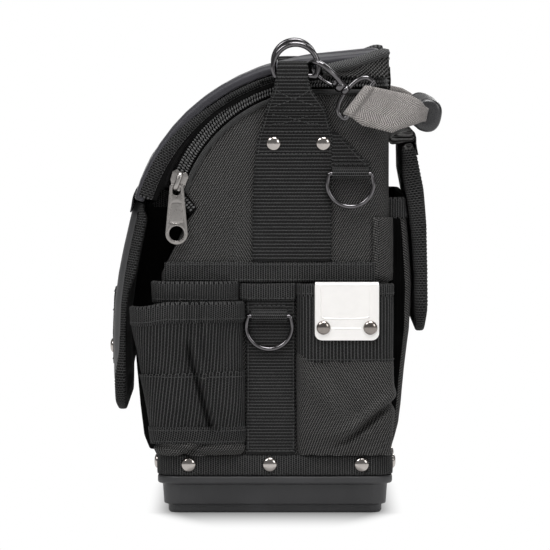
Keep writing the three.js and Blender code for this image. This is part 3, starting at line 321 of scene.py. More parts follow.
def slab(front, thickness, coords=None, out=RIGHT):
    """A cloth panel from a grid of points on its face, with a rounded edge all round."""
    p = np.asarray(front, float)
    rows, cols = p.shape[:2]
    n = face_normals(p)
    if float((n @ np.asarray(out, float)).sum()) < 0:
        n = -n
    back = p - n * thickness
    c = np.asarray(p if coords is None else coords, float)
    if c.shape[2] == 2:
        c = np.concatenate([c, np.zeros((rows, cols, 1))], 2)
    loop = [(0, j) for j in range(cols)] + [(i, cols - 1) for i in range(1, rows)]
    loop += [(rows - 1, j) for j in range(cols - 2, -1, -1)] + [(i, 0) for i in range(rows - 2, 0, -1)]
    i, j = np.array(loop).T
    edge, normal = p[i, j], n[i, j]
    beyond = edge - p[np.clip(i, 1, rows - 2), np.clip(j, 1, cols - 2)]
    beyond = unit(beyond - normal * (beyond * normal).sum(1)[:, None])
    verts, places = [p.reshape(-1, 3), back.reshape(-1, 3)], [c.reshape(-1, 3)] * 2
    half, size = thickness / 2, rows * cols
    faces = grid_faces(rows, cols)
    faces += [tuple(size + k for k in reversed(f)) for f in faces]
    at = i * cols + j
    rings = [at]
    for angle in np.radians((40, 90, 140)):
        rings.append(np.arange(len(loop)) + sum(len(v) for v in verts))
        verts.append(edge - normal * half * (1 - math.cos(angle)) + beyond * half * math.sin(angle) * 0.9)
        places.append(c[i, j])
    rings.append(at + size)
    for a, b in zip(rings, rings[1:]):
        faces += list(zip(np.roll(a, -1), a, b, np.roll(b, -1)))
    return np.vstack(verts), faces, np.vstack(places)


def refined(node, name, voxel, rounds, material, body, slot, place, shift=None, padded=None):
    """A fine, rounded copy of a CAD solid, for the soft pieces."""
    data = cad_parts[node].data.copy()
    data.materials.clear()
    o = link_object(name, data)
    fine = o.modifiers.new("fine", "REMESH")
    fine.mode = "VOXEL"
    fine.voxel_size = voxel * MM
    soft = o.modifiers.new("soft", "SMOOTH")
    soft.factor = 0.5
    soft.iterations = rounds
    graph = bpy.context.evaluated_depsgraph_get()
    made = bpy.data.meshes.new_from_object(o.evaluated_get(graph))
    o.modifiers.clear()
    o.data = made
    bpy.data.meshes.remove(data)
    co, nor = np.zeros(len(made.vertices) * 3), np.zeros(len(made.vertices) * 3)
    made.vertices.foreach_get("co", co)
    made.vertices.foreach_get("normal", nor)
    co, nor = co.reshape(-1, 3) / MM, nor.reshape(-1, 3)
    if shift:
        co = shift(co, nor)
        made.vertices.foreach_set("co", (co * MM).ravel())
    made.update()
    made.shade_smooth()
    set_coords(o, place(co, nor))
    return dress(o, material, body, slot, node, padded=padded)


# Materials


class Nodes:
    """Short calls for a material's node tree."""

    def __init__(self, name):
        self.material = bpy.data.materials.new(name)
        self.material.use_nodes = True
        self.tree = self.material.node_tree
        self.shader = self.tree.nodes["Principled BSDF"]

    def new(self, kind, **values):
        node = self.tree.nodes.new(kind)
        for key, value in values.items():
            setattr(node, key, value)
        return node

    def link(self, a, b):
        self.tree.links.new(a, b)

    def math(self, operation, *values):
        node = self.new("ShaderNodeMath", operation=operation)
        for socket, value in zip(node.inputs, values):
            if isinstance(value, (int, float)):
                socket.default_value = value
            else:
                self.link(value, socket)
        return node.outputs[0]

    def add(self, a, b):
        return self.math("ADD", a, b)

    def less(self, a, b):
        return self.math("SUBTRACT", a, b)

    def times(self, a, b):
        return self.math("MULTIPLY", a, b)

    def ramp(self, value, a, b, low=0.0, high=1.0):
        node = self.new("ShaderNodeMapRange", interpolation_type="SMOOTHSTEP")
        self.link(value, node.inputs["Value"])
        for key, number in (("From Min", a), ("From Max", b), ("To Min", low), ("To Max", high)):
            node.inputs[key].default_value = number
        return node.outputs["Result"]

    def mix(self, factor, a, b):
        node = self.new("ShaderNodeMix", data_type="RGBA")
        self.link(factor, node.inputs[0])
        for i, value in ((6, a), (7, b)):
            if isinstance(value, tuple):
                node.inputs[i].default_value = (*value, 1)
            else:
                self.link(value, node.inputs[i])
        return node.outputs[2]

    def noise(self, place, scale, detail=2.0, rough=0.5):
        node = self.new("ShaderNodeTexNoise")
        self.link(place, node.inputs["Vector"])
        for key, number in (("Scale", scale), ("Detail", detail), ("Roughness", rough)):
            node.inputs[key].default_value = number
        return node.outputs["Fac"]

    def place(self):
        """The place on the cloth, and u and v from it: u runs across, v along."""
        node = self.new("ShaderNodeAttribute", attribute_name="cloth")
        split = self.new("ShaderNodeSeparateXYZ")
        self.link(node.outputs["Vector"], split.inputs[0])
        return node.outputs["Vector"], split.outputs[0], split.outputs[1]

    def wave(self, value, pitch):
        """0 at each multiple of the pitch, 1 half way between."""
        return self.math("DIVIDE", self.math("PINGPONG", value, pitch / 2), pitch / 2)

    def bump(self, height, distance):
        node = self.new("ShaderNodeBump")
        node.inputs["Distance"].default_value = distance * MM
        node.inputs["Strength"].default_value = 1.0
        self.link(height, node.inputs["Height"])
        self.link(node.outputs[0], self.shader.inputs["Normal"])

    def feed(self, key, value):
        self.link(value, self.shader.inputs[key])

    def set(self, **values):
        for key, value in values.items():
            self.shader.inputs[key.replace("_", " ")].default_value = value


def shade(value, warm=0.0):
    return (value * (1 + warm), value, value * (1 - warm))


def rib(n, place, u, v, pitch, dot):
    """Rows of short bright threads across the webbing."""
    row = n.wave(v, pitch)
    half = n.math("FLOOR", n.math("DIVIDE", v, pitch))
    dots = n.wave(n.add(u, n.times(half, dot * 0.5)), dot)
    thread = n.times(n.ramp(row, 0.42, 0.08), n.ramp(dots, 0.25, 0.8))
    height = n.add(n.times(n.ramp(row, 0.0, 0.55), 0.8), n.times(thread, 0.5))
    return height, n.add(n.times(thread, 0.85), n.times(dots, 0.15))


def basket(n, place, u, v, pitch, dot):
    """Bright threads in slanting rows. Which way they slant changes over the cloth."""
    way = n.ramp(n.noise(place, 0.009, 0.0), 0.45, 0.62)
    slants = []
    for lean, low, high in ((1, 1.0, 0.3), (-1, 0.3, 1.0)):
        across = n.less(n.times(u, lean * 0.86), n.times(v, 0.5))
        along = n.add(n.times(u, lean * 0.5), n.times(v, 0.86))
        shift = n.times(n.math("FLOOR", n.math("DIVIDE", across, pitch)), dot * 0.4)
        dots = n.ramp(n.wave(n.add(along, shift), dot), 0.1, 0.8, 0.2, 1.0)
        thread = n.times(n.ramp(n.wave(across, pitch), 0.3, 0.85), dots)
        slants.append(n.times(thread, n.ramp(way, 0.0, 1.0, low, high)))
    tone = n.math("MAXIMUM", *slants)
    return tone, tone


def herringbone(n, place, u, v, pitch, dot):
    zig = n.math("PINGPONG", u, 4.2)
    row = n.wave(n.add(v, zig), pitch)
    dots = n.wave(n.less(v, zig), dot)
    height = n.add(n.times(row, 0.7), n.times(dots, 0.3))
    return height, n.add(n.times(n.ramp(row, 0.1, 0.8), 0.75), n.times(dots, 0.25))


def plain(n, place, u, v, pitch, dot):
    tone = n.times(n.wave(u, pitch), n.wave(v, pitch))
    return tone, tone


def woven(name, dark, light, weave, pitch, dot, depth, rough, sheen, shine=0.05):
    """Cloth or webbing. The weave gives its height and its tone."""
    n = Nodes(name)
    place, u, v = n.place()
    n.set(Roughness=rough, Sheen_Weight=sheen, Sheen_Roughness=0.35, Specular_IOR_Level=shine)
    height, tone = weave(n, place, u, v, pitch, dot)
    fine = n.noise(place, 1.6, 3.0)
    tone = n.times(tone, n.ramp(fine, 0.25, 0.75, 0.55, 1.25))
    # Where the cloth is handled it is a little paler and dustier.
    worn = n.times(n.ramp(n.noise(place, 0.035, 3.0), 0.42, 0.72), 0.35)
    pale = tuple(min(c * 1.5 + 0.006, 1) for c in dark)
    # The light threads' tone is partly their own and partly painted sheen on the thread crowns.
    color = n.mix(worn, n.mix(tone, dark, light), n.mix(tone, pale, light))
    speck = n.ramp(n.noise(place, 4.5, 1.0), 0.66, 0.74, 0.0, 0.35)
    n.feed("Base Color", n.mix(speck, color, light))
    n.bump(n.add(height, n.times(fine, 0.25)), depth)
    return n.material


def plastic(name, color, rough, grain, scale, coat=0.0):
    n = Nodes(name)
    place = n.place()[0]
    n.set(Coat_Weight=coat, Coat_Roughness=0.3)
    fine = n.noise(place, scale, 4.0)
    pale = tuple(c * 1.25 for c in color)
    n.feed("Base Color", n.mix(n.ramp(n.noise(place, 0.03, 4.0), 0.35, 0.7), color, pale))
    n.feed("Roughness", n.ramp(fine, 0.3, 0.7, rough - 0.07, rough + 0.08))
    n.bump(fine, grain)
    return n.material


def metal(name, color, rough, spread=0.12, part=1.0):
    n = Nodes(name)
    place = n.place()[0]
    n.set(Metallic=part)
    dark = tuple(c * (1 - spread) for c in color)
    n.feed("Base Color", n.mix(n.ramp(n.noise(place, 0.12, 4.0), 0.3, 0.7), dark, color))
    smear = n.noise(place, 0.6, 5.0, 0.6)
    n.feed("Roughness", n.ramp(smear, 0.3, 0.7, rough * 0.75, rough * 1.3))
    n.bump(n.noise(place, 2.0, 3.0), 0.01)
    return n.material


# Dark and light threads, weave, pitch, dot, depth, roughness, sheen and, for smooth cloth, shine
# The flap and the lid share one satin cloth. The lid's copy is painted lighter and the flap's darker, for
# the light that falls from above on the lid's top.
SATIN_DARK, SATIN_LIGHT = (0.009, 0.009, 0.01), (0.026, 0.0255, 0.03)
LID_PAINTED_LIT_DARK, LID_PAINTED_LIT_LIGHT = (0.018, 0.0175, 0.021), (0.055, 0.0535, 0.064)
STRAP_DARK, STRAP_LIGHT = (0.05, 0.045, 0.042), (0.43, 0.405, 0.39)
WEB = woven("webbing_ribbed", shade(0.0025), shade(0.13), rib, 2.4, 1.05, 0.38, 0.62, 0.02)
WEB_FINE = woven("webbing_fine", shade(0.003), shade(0.155), rib, 1.7, 1.4, 0.26, 0.66, 0.02)
POCKET_RIB = woven("pocket_ribbed", shade(0.0015), shade(0.15), rib, 2.4, 1.0, 0.44, 0.62, 0.02)
CLOTH = woven("bag_cloth", shade(0.003), shade(0.15, 0.02), basket, 1.55, 1.2, 0.35, 0.62, 0.02)
LINING = woven("lining_cloth", shade(0.003), shade(0.01), plain, 0.9, 1.0, 0.1, 0.85, 0.02)
# The rear pocket's ends: black cloth, made darker still as painted shade of the recess they sit in.
GUSSET_BLACK_AND_PAINTED_SHADE = woven("pocket_end_cloth", shade(0.001), shade(0.005), rib, 2.2, 1.0, 0.1, 0.9, 0.0, 0.02)
WEB_SOFT = woven("webbing_soft", shade(0.006), shade(0.115), rib, 2.2, 1.05, 0.22, 0.66, 0.02)
SATIN = woven("flap_panel_cloth", SATIN_DARK, SATIN_LIGHT, plain, 0.8, 1.0, 0.05, 0.45, 0.12, 0.2)
LID_SATIN_PAINTED_LIT = woven("lid_panel_cloth", LID_PAINTED_LIT_DARK, LID_PAINTED_LIT_LIGHT, plain, 0.8, 1.0, 0.05, 0.5, 0.28, 0.3)
FOLD = woven("folded_cloth", shade(0.022), shade(0.07), plain, 1.1, 1.0, 0.08, 0.5, 0.1)
TAPE = woven("zip_tape", shade(0.002), shade(0.012), rib, 1.1, 0.7, 0.12, 0.75, 0.05)
STRAP = woven("grey_strap", STRAP_DARK, STRAP_LIGHT, herringbone, 1.5, 1.0, 0.35, 0.66, 0.1)
THREAD = woven("thread", shade(0.03), shade(0.1), plain, 0.5, 1.0, 0.05, 0.6, 0.05)
# The teeth are black. Their pale tone paints the glints on the glossy beads.
TEETH_PAINTED_GLINT = woven("zip_teeth", shade(0.05), shade(0.24), plain, 0.9, 1.0, 0.02, 0.5, 0.0, 0.3)
EDGE_TWILL = woven("edge_twill", shade(0.003), shade(0.13), herringbone, 1.9, 1.2, 0.3, 0.62, 0.03)
BINDING = woven("edge_binding", shade(0.003), shade(0.12), rib, 1.7, 1.3, 0.28, 0.66, 0.02)
BASE = plastic("base_moulding", (0.027, 0.027, 0.0285), 0.5, 0.04, 2.2)
RUBBER = plastic("grip_rubber", (0.017, 0.017, 0.018), 0.3, 0.02, 1.2, 0.25)
BLACK_METAL = metal("black_plated_metal", (0.14, 0.135, 0.14), 0.16)
NICKEL = metal("nickel", (0.5, 0.465, 0.44), 0.13)
# A steel plate made mostly diffuse near-white: painted reflection of the bright surroundings.
PLATE_PAINTED_REFLECTION = metal("bright_plate", (0.9, 0.88, 0.86), 0.4, 0.03, 0.35)
SILVER = metal("slider_metal", (0.4, 0.38, 0.365), 0.34)
CLIP_RIVET = metal("clip_rivet", (0.3, 0.27, 0.25), 0.18)


# Stage, lights and camera, in metres

LIGHTS = (  # name, place, height of the target, size and power in watts
    ("key", (1.4, -1.3, 1.9), 0.17, 0.9, 24),
    ("fill", (1.8, 1.5, 1.0), 0.17, 0.8, 9),
    ("above", (0.85, 0.2, 1.9), 0.2, 0.9, 27),
    ("top", (0.0, 0.1, 2.2), 0.2, 1.2, 13),
    ("back", (-1.8, 0.9, 1.3), 0.2, 1.0, 15),
)
WORLD_STRENGTH = 0.22
FOOT_HALVES = (0.116, 0.077)
FLOOR_HALF, FLOOR_GREY, FLOOR_PAINTED_SHADOW = 6.0, (0.82, 0.82, 0.82), (0.12, 0.12, 0.12)
CAMERA_TILT, CAMERA_DISTANCE, CAMERA_TARGET = 3.0, 4.0, (0.0, 0.0, 0.1605)
NEAR_END, FRAME_WIDTH, SENSOR = 0.12, 0.3833, 36  # the frame is as wide as this at the bag's near end


def world_light():
    world = bpy.data.worlds.new("studio")
    bpy.context.scene.world = world
    world.use_nodes = True
    tree = world.node_tree
    back = tree.nodes["Background"]
    back.inputs["Color"].default_value = (1, 1, 1, 1)
    path = tree.nodes.new("ShaderNodeLightPath")
    seen = tree.nodes.new("ShaderNodeMath")
    seen.operation = "MAXIMUM"
    tree.links.new(path.outputs["Is Camera Ray"], seen.inputs[0])
    tree.links.new(path.outputs["Is Transmission Ray"], seen.inputs[1])
    size = tree.nodes.new("ShaderNodeMapRange")
    size.inputs["To Min"].default_value = WORLD_STRENGTH
    size.inputs["To Max"].default_value = 1.0
    tree.links.new(seen.outputs[0], size.inputs["Value"])
    tree.links.new(size.outputs["Result"], back.inputs["Strength"])


def area_light(name, place, height, size, power):
    data = bpy.data.lights.new(name, "AREA")
    data.shape = "RECTANGLE"
    data.size = data.size_y = size
    data.energy = power
    o = link_object(name, data)
    o.location = Vector(place)
    o.rotation_euler = (Vector((0, 0, height)) - Vector(place)).to_track_quat("-Z", "Y").to_euler()


def floor():
    """White to the camera, with a painted contact shadow round the bag's foot, which the lamps' own shadow
    also shapes.
    """
    data = bpy.data.meshes.new("floor")
    r = FLOOR_HALF
    data.from_pydata([(-r, -r, 0), (r, -r, 0), (r, r, 0), (-r, r, 0)], [], [(0, 1, 2, 3)])
    o = link_object("floor", data)
    n = Nodes("floor_white")
    n.set(Roughness=0.9)
    split = n.new("ShaderNodeSeparateXYZ")
    n.link(n.new("ShaderNodeNewGeometry").outputs["Position"], split.inputs[0])
    # How far a point lies outside the bag's foot, and from that the mask of the painted contact shadow.
    x, y = (n.less(n.math("ABSOLUTE", split.outputs[i]), half) for i, half in enumerate(FOOT_HALVES))
    narrowing = n.add(y, n.times(n.math("MAXIMUM", x, 0.0), 0.3))
    near = n.times(n.ramp(x, -0.045, 0.12, 1.0, 0.0), n.ramp(narrowing, -0.012, 0.014, 1.0, 0.0))
    path = n.new("ShaderNodeLightPath")
    seen = n.math("MAXIMUM", path.outputs["Is Camera Ray"], path.outputs["Is Glossy Ray"])
    # Camera rays see the dark grey near the foot, a painted shadow, and emitted white elsewhere.
    n.feed("Base Color", n.mix(seen, FLOOR_GREY, FLOOR_PAINTED_SHADOW))
    glow = n.new("ShaderNodeEmission")
    glow.inputs["Strength"].default_value = 1.0
    mix = n.new("ShaderNodeMixShader")
    for i, value in enumerate((n.times(seen, n.less(1.0, near)), n.shader.outputs[0], glow.outputs[0])):
        n.link(value, mix.inputs[i])
    n.link(mix.outputs[0], n.tree.nodes["Material Output"].inputs["Surface"])
    data.materials.append(n.material)


def camera():
    data = bpy.data.cameras.new("camera")
    o = link_object("camera", data)
    tilt = math.radians(CAMERA_TILT)
    away = Vector((math.cos(tilt), 0.0, math.sin(tilt)))
    o.location = Vector(CAMERA_TARGET) + away * CAMERA_DISTANCE
    o.rotation_euler = (-away).to_track_quat("-Z", "Y").to_euler()
    data.sensor_width = SENSOR
    data.lens = SENSOR * (CAMERA_DISTANCE - NEAR_END) / FRAME_WIDTH
    data.clip_end = 60
    bpy.context.scene.camera = o


bpy.context.scene.view_settings.view_transform = "Standard"
world_light()
for light in LIGHTS:
    area_light(*light)
floor()
camera()


# Moulded base, its band and the rivets

HALF_WIDTH, HALF_DEPTH, CORNER = 118, 79.5, 14
WALL, SEAT = 3, 0.3
FACE = HALF_WIDTH + SEAT
FOOT_RIVET_Z = 34.4


def plan_loop(grow, z=0.0, turn=12, fill=8.0):
    """The bag's outline from above, grown evenly, as closed points with their outward directions."""
    x, y, r = HALF_WIDTH - CORNER, HALF_DEPTH - CORNER, CORNER + grow
    corners = [(1, 1, 0, (-x, y + r)), (-1, 1, 90, (-x - r, -y))]
    corners += [(-1, -1, 180, (x, -y - r)), (1, -1, 270, (x + r, y))]
    pts, out = [], []
    for sx, sy, start, end in corners:
        for a in np.radians(span(start, start + 90, turn)):
            pts.append((sx * x + r * math.cos(a), sy * y + r * math.sin(a), z))
            out.append((math.cos(a), math.sin(a), 0))
        last, end = np.array(pts[-1]), vec(*end, z)
        steps = max(int(np.linalg.norm(end - last) / fill), 1)
        for k in range(1, steps):
            pts.append(tuple(last + (end - last) * k / steps))
            out.append(out[-1])
    return np.array(pts), np.array(out)


def base_tray():
    under, foot = -0.9, -4.9
    profile = [(foot - 1.2, 0), (foot, 1.4), (foot, 5.5), (under - 1, 6.3), (under, 20.1), (2.0, 20.7)]
    profile += [(2.6, 21.7), (2.6, 25.3), (1.7, 26.3), (-3.3, 26.3), (-3.3, 44), (-5.8, 44), (-5.8, 3)]
    rings = [plan_loop(g, z)[0] for g, z in rounded(profile, 0.7, 3, 0.45, closed=False)]
    put("base_moulding", loop_loft(rings), BASE, "bag", "base_plastic", "base_tray")


def rivet_head(at, axis=RIGHT, radius=5.1):
    height, brim = 2.4, 0.25
    curve = [(radius * 0.985, -0.4), (radius, 0.0), (radius, brim)]
    for a in np.radians(span(12, 84, 7)):
        curve.append((radius * math.cos(a) ** 0.9, brim + (height - brim) * math.sin(a)))
    return lathe(curve + [(radius * 0.03, height)], at, axis)


def base_band():
    pts, out = plan_loop(SEAT + 1.35, 33.8, fill=3.0)
    pts = pts + out * (0.25 * wobble(pts, 25.0))[:, None]
    shape = sweep(pts, UP, out, 14.4, 2.6, crown=0.25, closed=True)
    put("foot_webbing", shape, WEB_FINE, "bag", "webbing", "base_band")
    heads = Heap()
    face = SEAT + 2.7
    for side in (1, -1):
        for y in (-60.3, -3.6, 60.5):
            heads.add(rivet_head((side * (HALF_WIDTH + face), y, FOOT_RIVET_Z), (side, 0, 0)))
        for i in range(4):
            heads.add(rivet_head(((i - 1.5) * 60, side * (HALF_DEPTH + face), FOOT_RIVET_Z), (0, side, 0)))
    put("foot_rivets", heads, NICKEL, "bag", "nickel")


# Body cloth


def perimeter(p):
    """How far round the bag a point lies, so that the weave runs on past the corners."""
    cx, cy = HALF_WIDTH - CORNER, HALF_DEPTH - CORNER
    quarter = CORNER * math.pi / 2
    x, y = np.abs(p[:, 0]), np.abs(p[:, 1])
    angle = np.arctan2(np.maximum(y - cy, 0), np.maximum(x - cx, 0) + 1e-9)
    on_corner = (x > cx) & (y > cy)
    on_end = (y > cy) & (x <= cx)
    s = np.where(on_corner, cy + angle * CORNER, np.where(on_end, cy + quarter + cx - x, y))
    s = np.where((x <= cx) & (y <= cy), y + x, s)
    return s * np.where(p[:, 1] < 0, -1, 1)


def round_bag(co, nor):
    return np.stack([perimeter(co), co[:, 2], np.zeros(len(co))], 1)


def on_wall(co, nor):
    return co[:, [0, 2, 1]]


def not_rear(p, n):
    return n[1] < 0.5 or p[1] < 60


def body_cloth():
    def sag(co, nor):
        outside = np.abs(nor[:, 2]) < 0.5
        return co + nor * (wobble(co, 38.0) * 0.35 * outside)[:, None]

    refined("body_shell", "body_cloth", 1.5, 3, CLOTH, "bag", "cloth", round_bag, sag)
    o = refined("lid_shell", "lid_side_cloth", 1.5, 3, CLOTH, "lid", "cloth", round_bag)
    line_inside(o, not_rear)
    refined("divider_panel", "divider", 1.4, 3, LINING, "bag", "lining", on_wall)


# Zip

ZIP_Y, ZIP_Z, ZIP_R, ZIP_START = 30.9, 197.3, 104.4, 164
ZIP_TOP = ZIP_Z + ZIP_R
ZIP_ARC = ZIP_R * math.radians(ZIP_START - 90)
ZIP_FLAT = ZIP_ARC + HALF_DEPTH - CORNER - ZIP_Y
ZIP_LENGTH = ZIP_FLAT + CORNER * math.pi / 2 + 10
TOOTH_PITCH = 2.0
# Each tooth's bead, as (back or forward along the zip, up from its line, off its face, radius)
TOOTH = [(1, 3.5, 0.5, 0.55), (1, 3.0, 0.9, 0.85), (1, 2.5, 0.7, 0.6), (0, 1.5, -0.3, 0.25)]
TOOTH += [(-1, 0.7, 0.8, 0.6), (-1, 0.2, 1.0, 0.85), (-1, -0.3, 0.4, 0.5)]


def zip_point(s, up, away):
    """A place on the zip: a length from its front end, outward from its line, and off its face."""
    if s <= ZIP_ARC:
        a = math.radians(ZIP_START) - s / ZIP_R
        r = ZIP_R + up
        return vec(HALF_WIDTH - WALL / 2 + away, ZIP_Y + r * math.cos(a), ZIP_Z + r * math.sin(a))
    past = s - ZIP_FLAT
    z = ZIP_TOP + up
    if past <= 0:
        return vec(HALF_WIDTH - WALL / 2 + away, HALF_DEPTH - CORNER + past, z)
    r = CORNER - WALL / 2 + away
    a = min(past / CORNER, math.pi / 2)
    x = HALF_WIDTH - CORNER + r * math.cos(a) - max(past - CORNER * math.pi / 2, 0)
    return vec(x, HALF_DEPTH - CORNER + r * math.sin(a), z)


def zip_rows(side):
    stations = np.arange(0, ZIP_LENGTH + 0.1, 2.0)
    middle = np.array([zip_point(s, 0, 0) for s in stations])
    ups = unit(np.array([zip_point(s, 1, 0) for s in stations]) - middle)
    aways = unit(np.array([zip_point(s, 0, 1) for s in stations]) - middle)

    def strip(count, up, away, *shape):
        path = [zip_point(s, up, away) for s in stations[:count]]
        return sweep(path, ups[:count], aways[:count], *shape)

    # The two tapes meet behind the teeth, the lower one a little further in.
    for row, body, node, up, away in ((1, "lid", "upper", 3.0, -0.4), (-1, "bag", "lower", -2.7, -1.0)):
        heap = Heap()
        first = 0.6 if row > 0 else 0.6 + TOOTH_PITCH / 2
        for s in np.arange(first, ZIP_LENGTH - 0.6, TOOTH_PITCH):
            pts = [zip_point(s + 0.45 * row * way, row * rise, off) for way, rise, off, _ in TOOTH]
            heap.add(tube(pts, [bead[3] for bead in TOOTH], 7))
        put(f"zip_teeth_{node}{side}", heap, TEETH_PAINTED_GLINT, body, "lining")
        tape = strip(len(stations), up, away, 6.2, 0.9)
        put(f"zip_tape_{node}{side}", tape, TAPE, body, "lining", f"zip_row_{node}{side}")
    # The cloth is folded back along the zip, on the bag and on the lid.
    count = int(ZIP_FLAT / 2) + 8
    put(f"zip_fold_lower{side}", strip(count, -7.4, 1.5, 3.6, 2.0, 0.5), FOLD, "bag", "cloth")
    put(f"zip_fold_upper{side}", strip(count, 7.4, 0.6, 3.2, 2.2, 0.4), LINING, "lid", "cloth")


def zip_tail(side):
    start = zip_point(1.0, -3.0, 0)
    end = vec(HALF_WIDTH - 1.5, -54.5, 213)
    line = resample([start, end], 2.2)
    along = unit(end - start)
    across = np.cross(RIGHT, along)
    heap = Heap()
    for p in line[1:-1]:
        for way in (1, -1):
            q = p + across * (1.7 * way - 2.6)
            lean = along * 0.3 * way
            foot = q - lean - across * 0.9 * way + vec(0.9, 0, 0)
            pts = [q + lean + vec(-0.2, 0, 0), q + vec(1.1, 0, 0), foot]
            heap.add(tube(spline(pts, 3), 0.7, 6))
    put(f"zip_tail{side}", heap, TEETH_PAINTED_GLINT, "bag", "lining")
    put(f"zip_tail_tape{side}", sweep(line - across * 2.6, across, RIGHT, 8.6, 1.4), TAPE, "bag", "lining")


base_tray()
base_band()
body_cloth()
for side in SIDES:
    zip_rows(side)
    zip_tail(side)


# Webbing on the sides

# Middles of the rings' arcs
TOP_RING, TOP_RING_R = (131, 14.35, 312.2), 15.5
SIDE_RING, LOWER_RING, SMALL_RING_R = (123.4, 52.5, 237.3), (123.4, -4, 138), 16
# The upright webbing's outer run, as (x, y, z, half its width)
UPRIGHT = [(119.5, 11.8, 176.4, 27.5), (119.5, 11.8, 200, 27.5), (119.5, 12.2, 230, 27.3)]
UPRIGHT += [(119.6, 13.2, 251, 26.7), (120.2, 14.2, 263, 25.9), (124.2, 14.6, 276.5, 22.4)]
UPRIGHT += [(128.2, 14.4, 283, 20.4), (130.6, 13.6, 288, 17.8), (133.0, 12.4, 295, 13.9)]
UPRIGHT += [(134.2, 11.9, 303, 11.7), (134.3, 12.3, 311.6, 10.7)]
UPRIGHT += [(x, 12.3, z, 10.5) for x, z in arc(131, 311.6, 3.3, [25, 50, 75, 105, 130, 155, 180])]
UPRIGHT += [(127.8, 12.3, 303, 10.3), (128.3, 12.3, 294, 10.3), (125.2, 12.3, 285, 10.3)]


def normals_xz(path, sign):
    """Normals of a path in an x-z plane, on the side that the sign picks."""
    t = unit(np.gradient(np.asarray(path, float), axis=0))
    return unit(np.stack([t[:, 2] * sign, np.zeros(len(t)), -t[:, 0] * sign], 1))


def upright(side):
    t = 2.2
    k = resample(spline(UPRIGHT, 6), 1.6)
    path, half = k[:, :3], k[:, 3]
    out = normals_xz(path, 1)
    path = path + out * (0.22 * wobble(path, 14.0, 3.0))[:, None]
    shape = sweep(path, REAR, out, half * 2, t, crown=0.15)
    put(f"upright_webbing{side}", shape, WEB, "bag", "webbing", f"side_webbing{side}")
    front = int(np.argmax(path[:, 2]))
    heap = Heap()

    def nearest(z):
        return int(np.argmin(np.abs(path[:front, 2] - z)))

    rows = [(z, 0.9, 0) for z in (251.5, 267.5, 283, 304.5)]
    rows += [(290.5, 0.78, 5), (275.5, 0.8, 4), (290.5, 0.78, -5), (275.5, 0.8, -4)]
    for z, share, slope in rows:
        i = nearest(z)
        line = []
        for a in span(-share, share, 9):
            j = min(max(i + int(round(slope * a)), 0), front)
            line.append(path[j] + vec(0, a * half[j], 0) + out[j] * (t / 2 + 0.12 * (1 - a * a)))
        heap.sew(line, out[i])
    low, high = nearest(252), nearest(303)
    for edge in (-1, 1):
        line = [path[i] + vec(0, edge * (half[i] - 1.8), 0) + out[i] * t / 2 for i in range(low, high)]
        heap.sew(line, out[low:high])
    put(f"upright_stitches{side}", heap, THREAD, "bag", "webbing")
    heads = Heap(*[rivet_head((UPRIGHT[0][0] + t / 2 + 0.3, y, 258.5)) for y in (-1.0, 33.6)])
    put(f"upright_rivets{side}", heads, NICKEL, "bag", "nickel")


def keeper(ring, half=12.6):
    """A short fold of webbing that holds a ring's bar."""
    x, y, z = ring
    keys = [(FACE + 1.0, y, z + 9), (FACE + 1.6, y, z + 5.2)]
    keys += [(a, y, b) for a, b in arc(x, z, 2.75, [112, 80, 45, 10, -25, -60, -95, -130])]
    path = resample(spline(keys + [(FACE + 0.9, y, z - 2.6)], 5), 0.8)
    return sweep(path, REAR, normals_xz(path, -1), 2 * half, 1.5)


def sew_level(heap, x, z, start, end, count):
    """A level row of stitches on the side of the bag."""
    heap.sew([(x, y, z) for y in span(start, end, count)])


def centre_strip(side):
    x = FACE + 1.2
    z = span(41.4, 161, 80)
    path = np.stack([x + 0.25 * np.sin(z / 9.0) + 0.5 * bump(z, 62, 14), np.full(80, -3.0), z], 1)
    shape = sweep(path, REAR, RIGHT, 34.4, 2.2, crown=0.35)
    put(f"centre_webbing_piece{side}", shape, WEB_SOFT, "bag", "webbing", f"centre_webbing{side}")
    y = span(-24.2, 14.6, 30)
    rim = np.stack([x + 1.95 + 0.15 * np.sin(y / 4), y, 155.2 + 0.35 * np.sin(y / 7)], 1)
    put(f"centre_rim{side}", sweep(rim, UP, RIGHT, 11.6, 1.5, crown=0.25), WEB_FINE, "bag", "webbing")
    put(f"lower_ring_keeper{side}", keeper(LOWER_RING), WEB_FINE, "bag", "webbing")
    heap = Heap()
    for z, lift in ((150.6, 2.85), (147.2, 1.35), (44.2, 1.35)):
        sew_level(heap, x + lift, z, -19, 13, 12)
    sew_level(heap, FACE + 2.55, 145.6, -15.5, 7.5, 12)
    for y in (-18.8, 12.8):
        heap.sew([(x + 1.3, y, z) for z in span(45, 160, 40)])
    put(f"centre_stitches{side}", heap, THREAD, "bag", "webbing")


def ring_tab(side):
    cols = 12
    grid = []
    for h in span(240.2, 265.8, 18):
        rear = np.interp(h, [240, 243, 265.8], [65.6, 65.2, 43.5])
        grid.append(np.stack([np.full(cols, FACE + 2.3), span(39.9, rear, cols), np.full(cols, h)], 1))
    grid = np.array(grid)
    shape = slab(grid, 2.1, grid[..., 1:])
    put(f"ring_tab{side}", shape, WEB, "bag", "webbing", f"diagonal_webbing{side}")
    put(f"side_ring_keeper{side}", keeper(SIDE_RING, 12.8), WEB_FINE, "bag", "webbing")
    heap = Heap()
    sew_level(heap, FACE + 2.75, 246.6, 41, 60, 8)
    heap.sew([(FACE + 2.35, y, z) for y, z in zip(span(63.2, 44.5, 12), span(243.5, 262.5, 12))])
    sew_level(heap, FACE + 2.9, 243.6, 41, 64, 10)
    put(f"ring_tab_stitches{side}", heap, THREAD, "bag", "webbing")


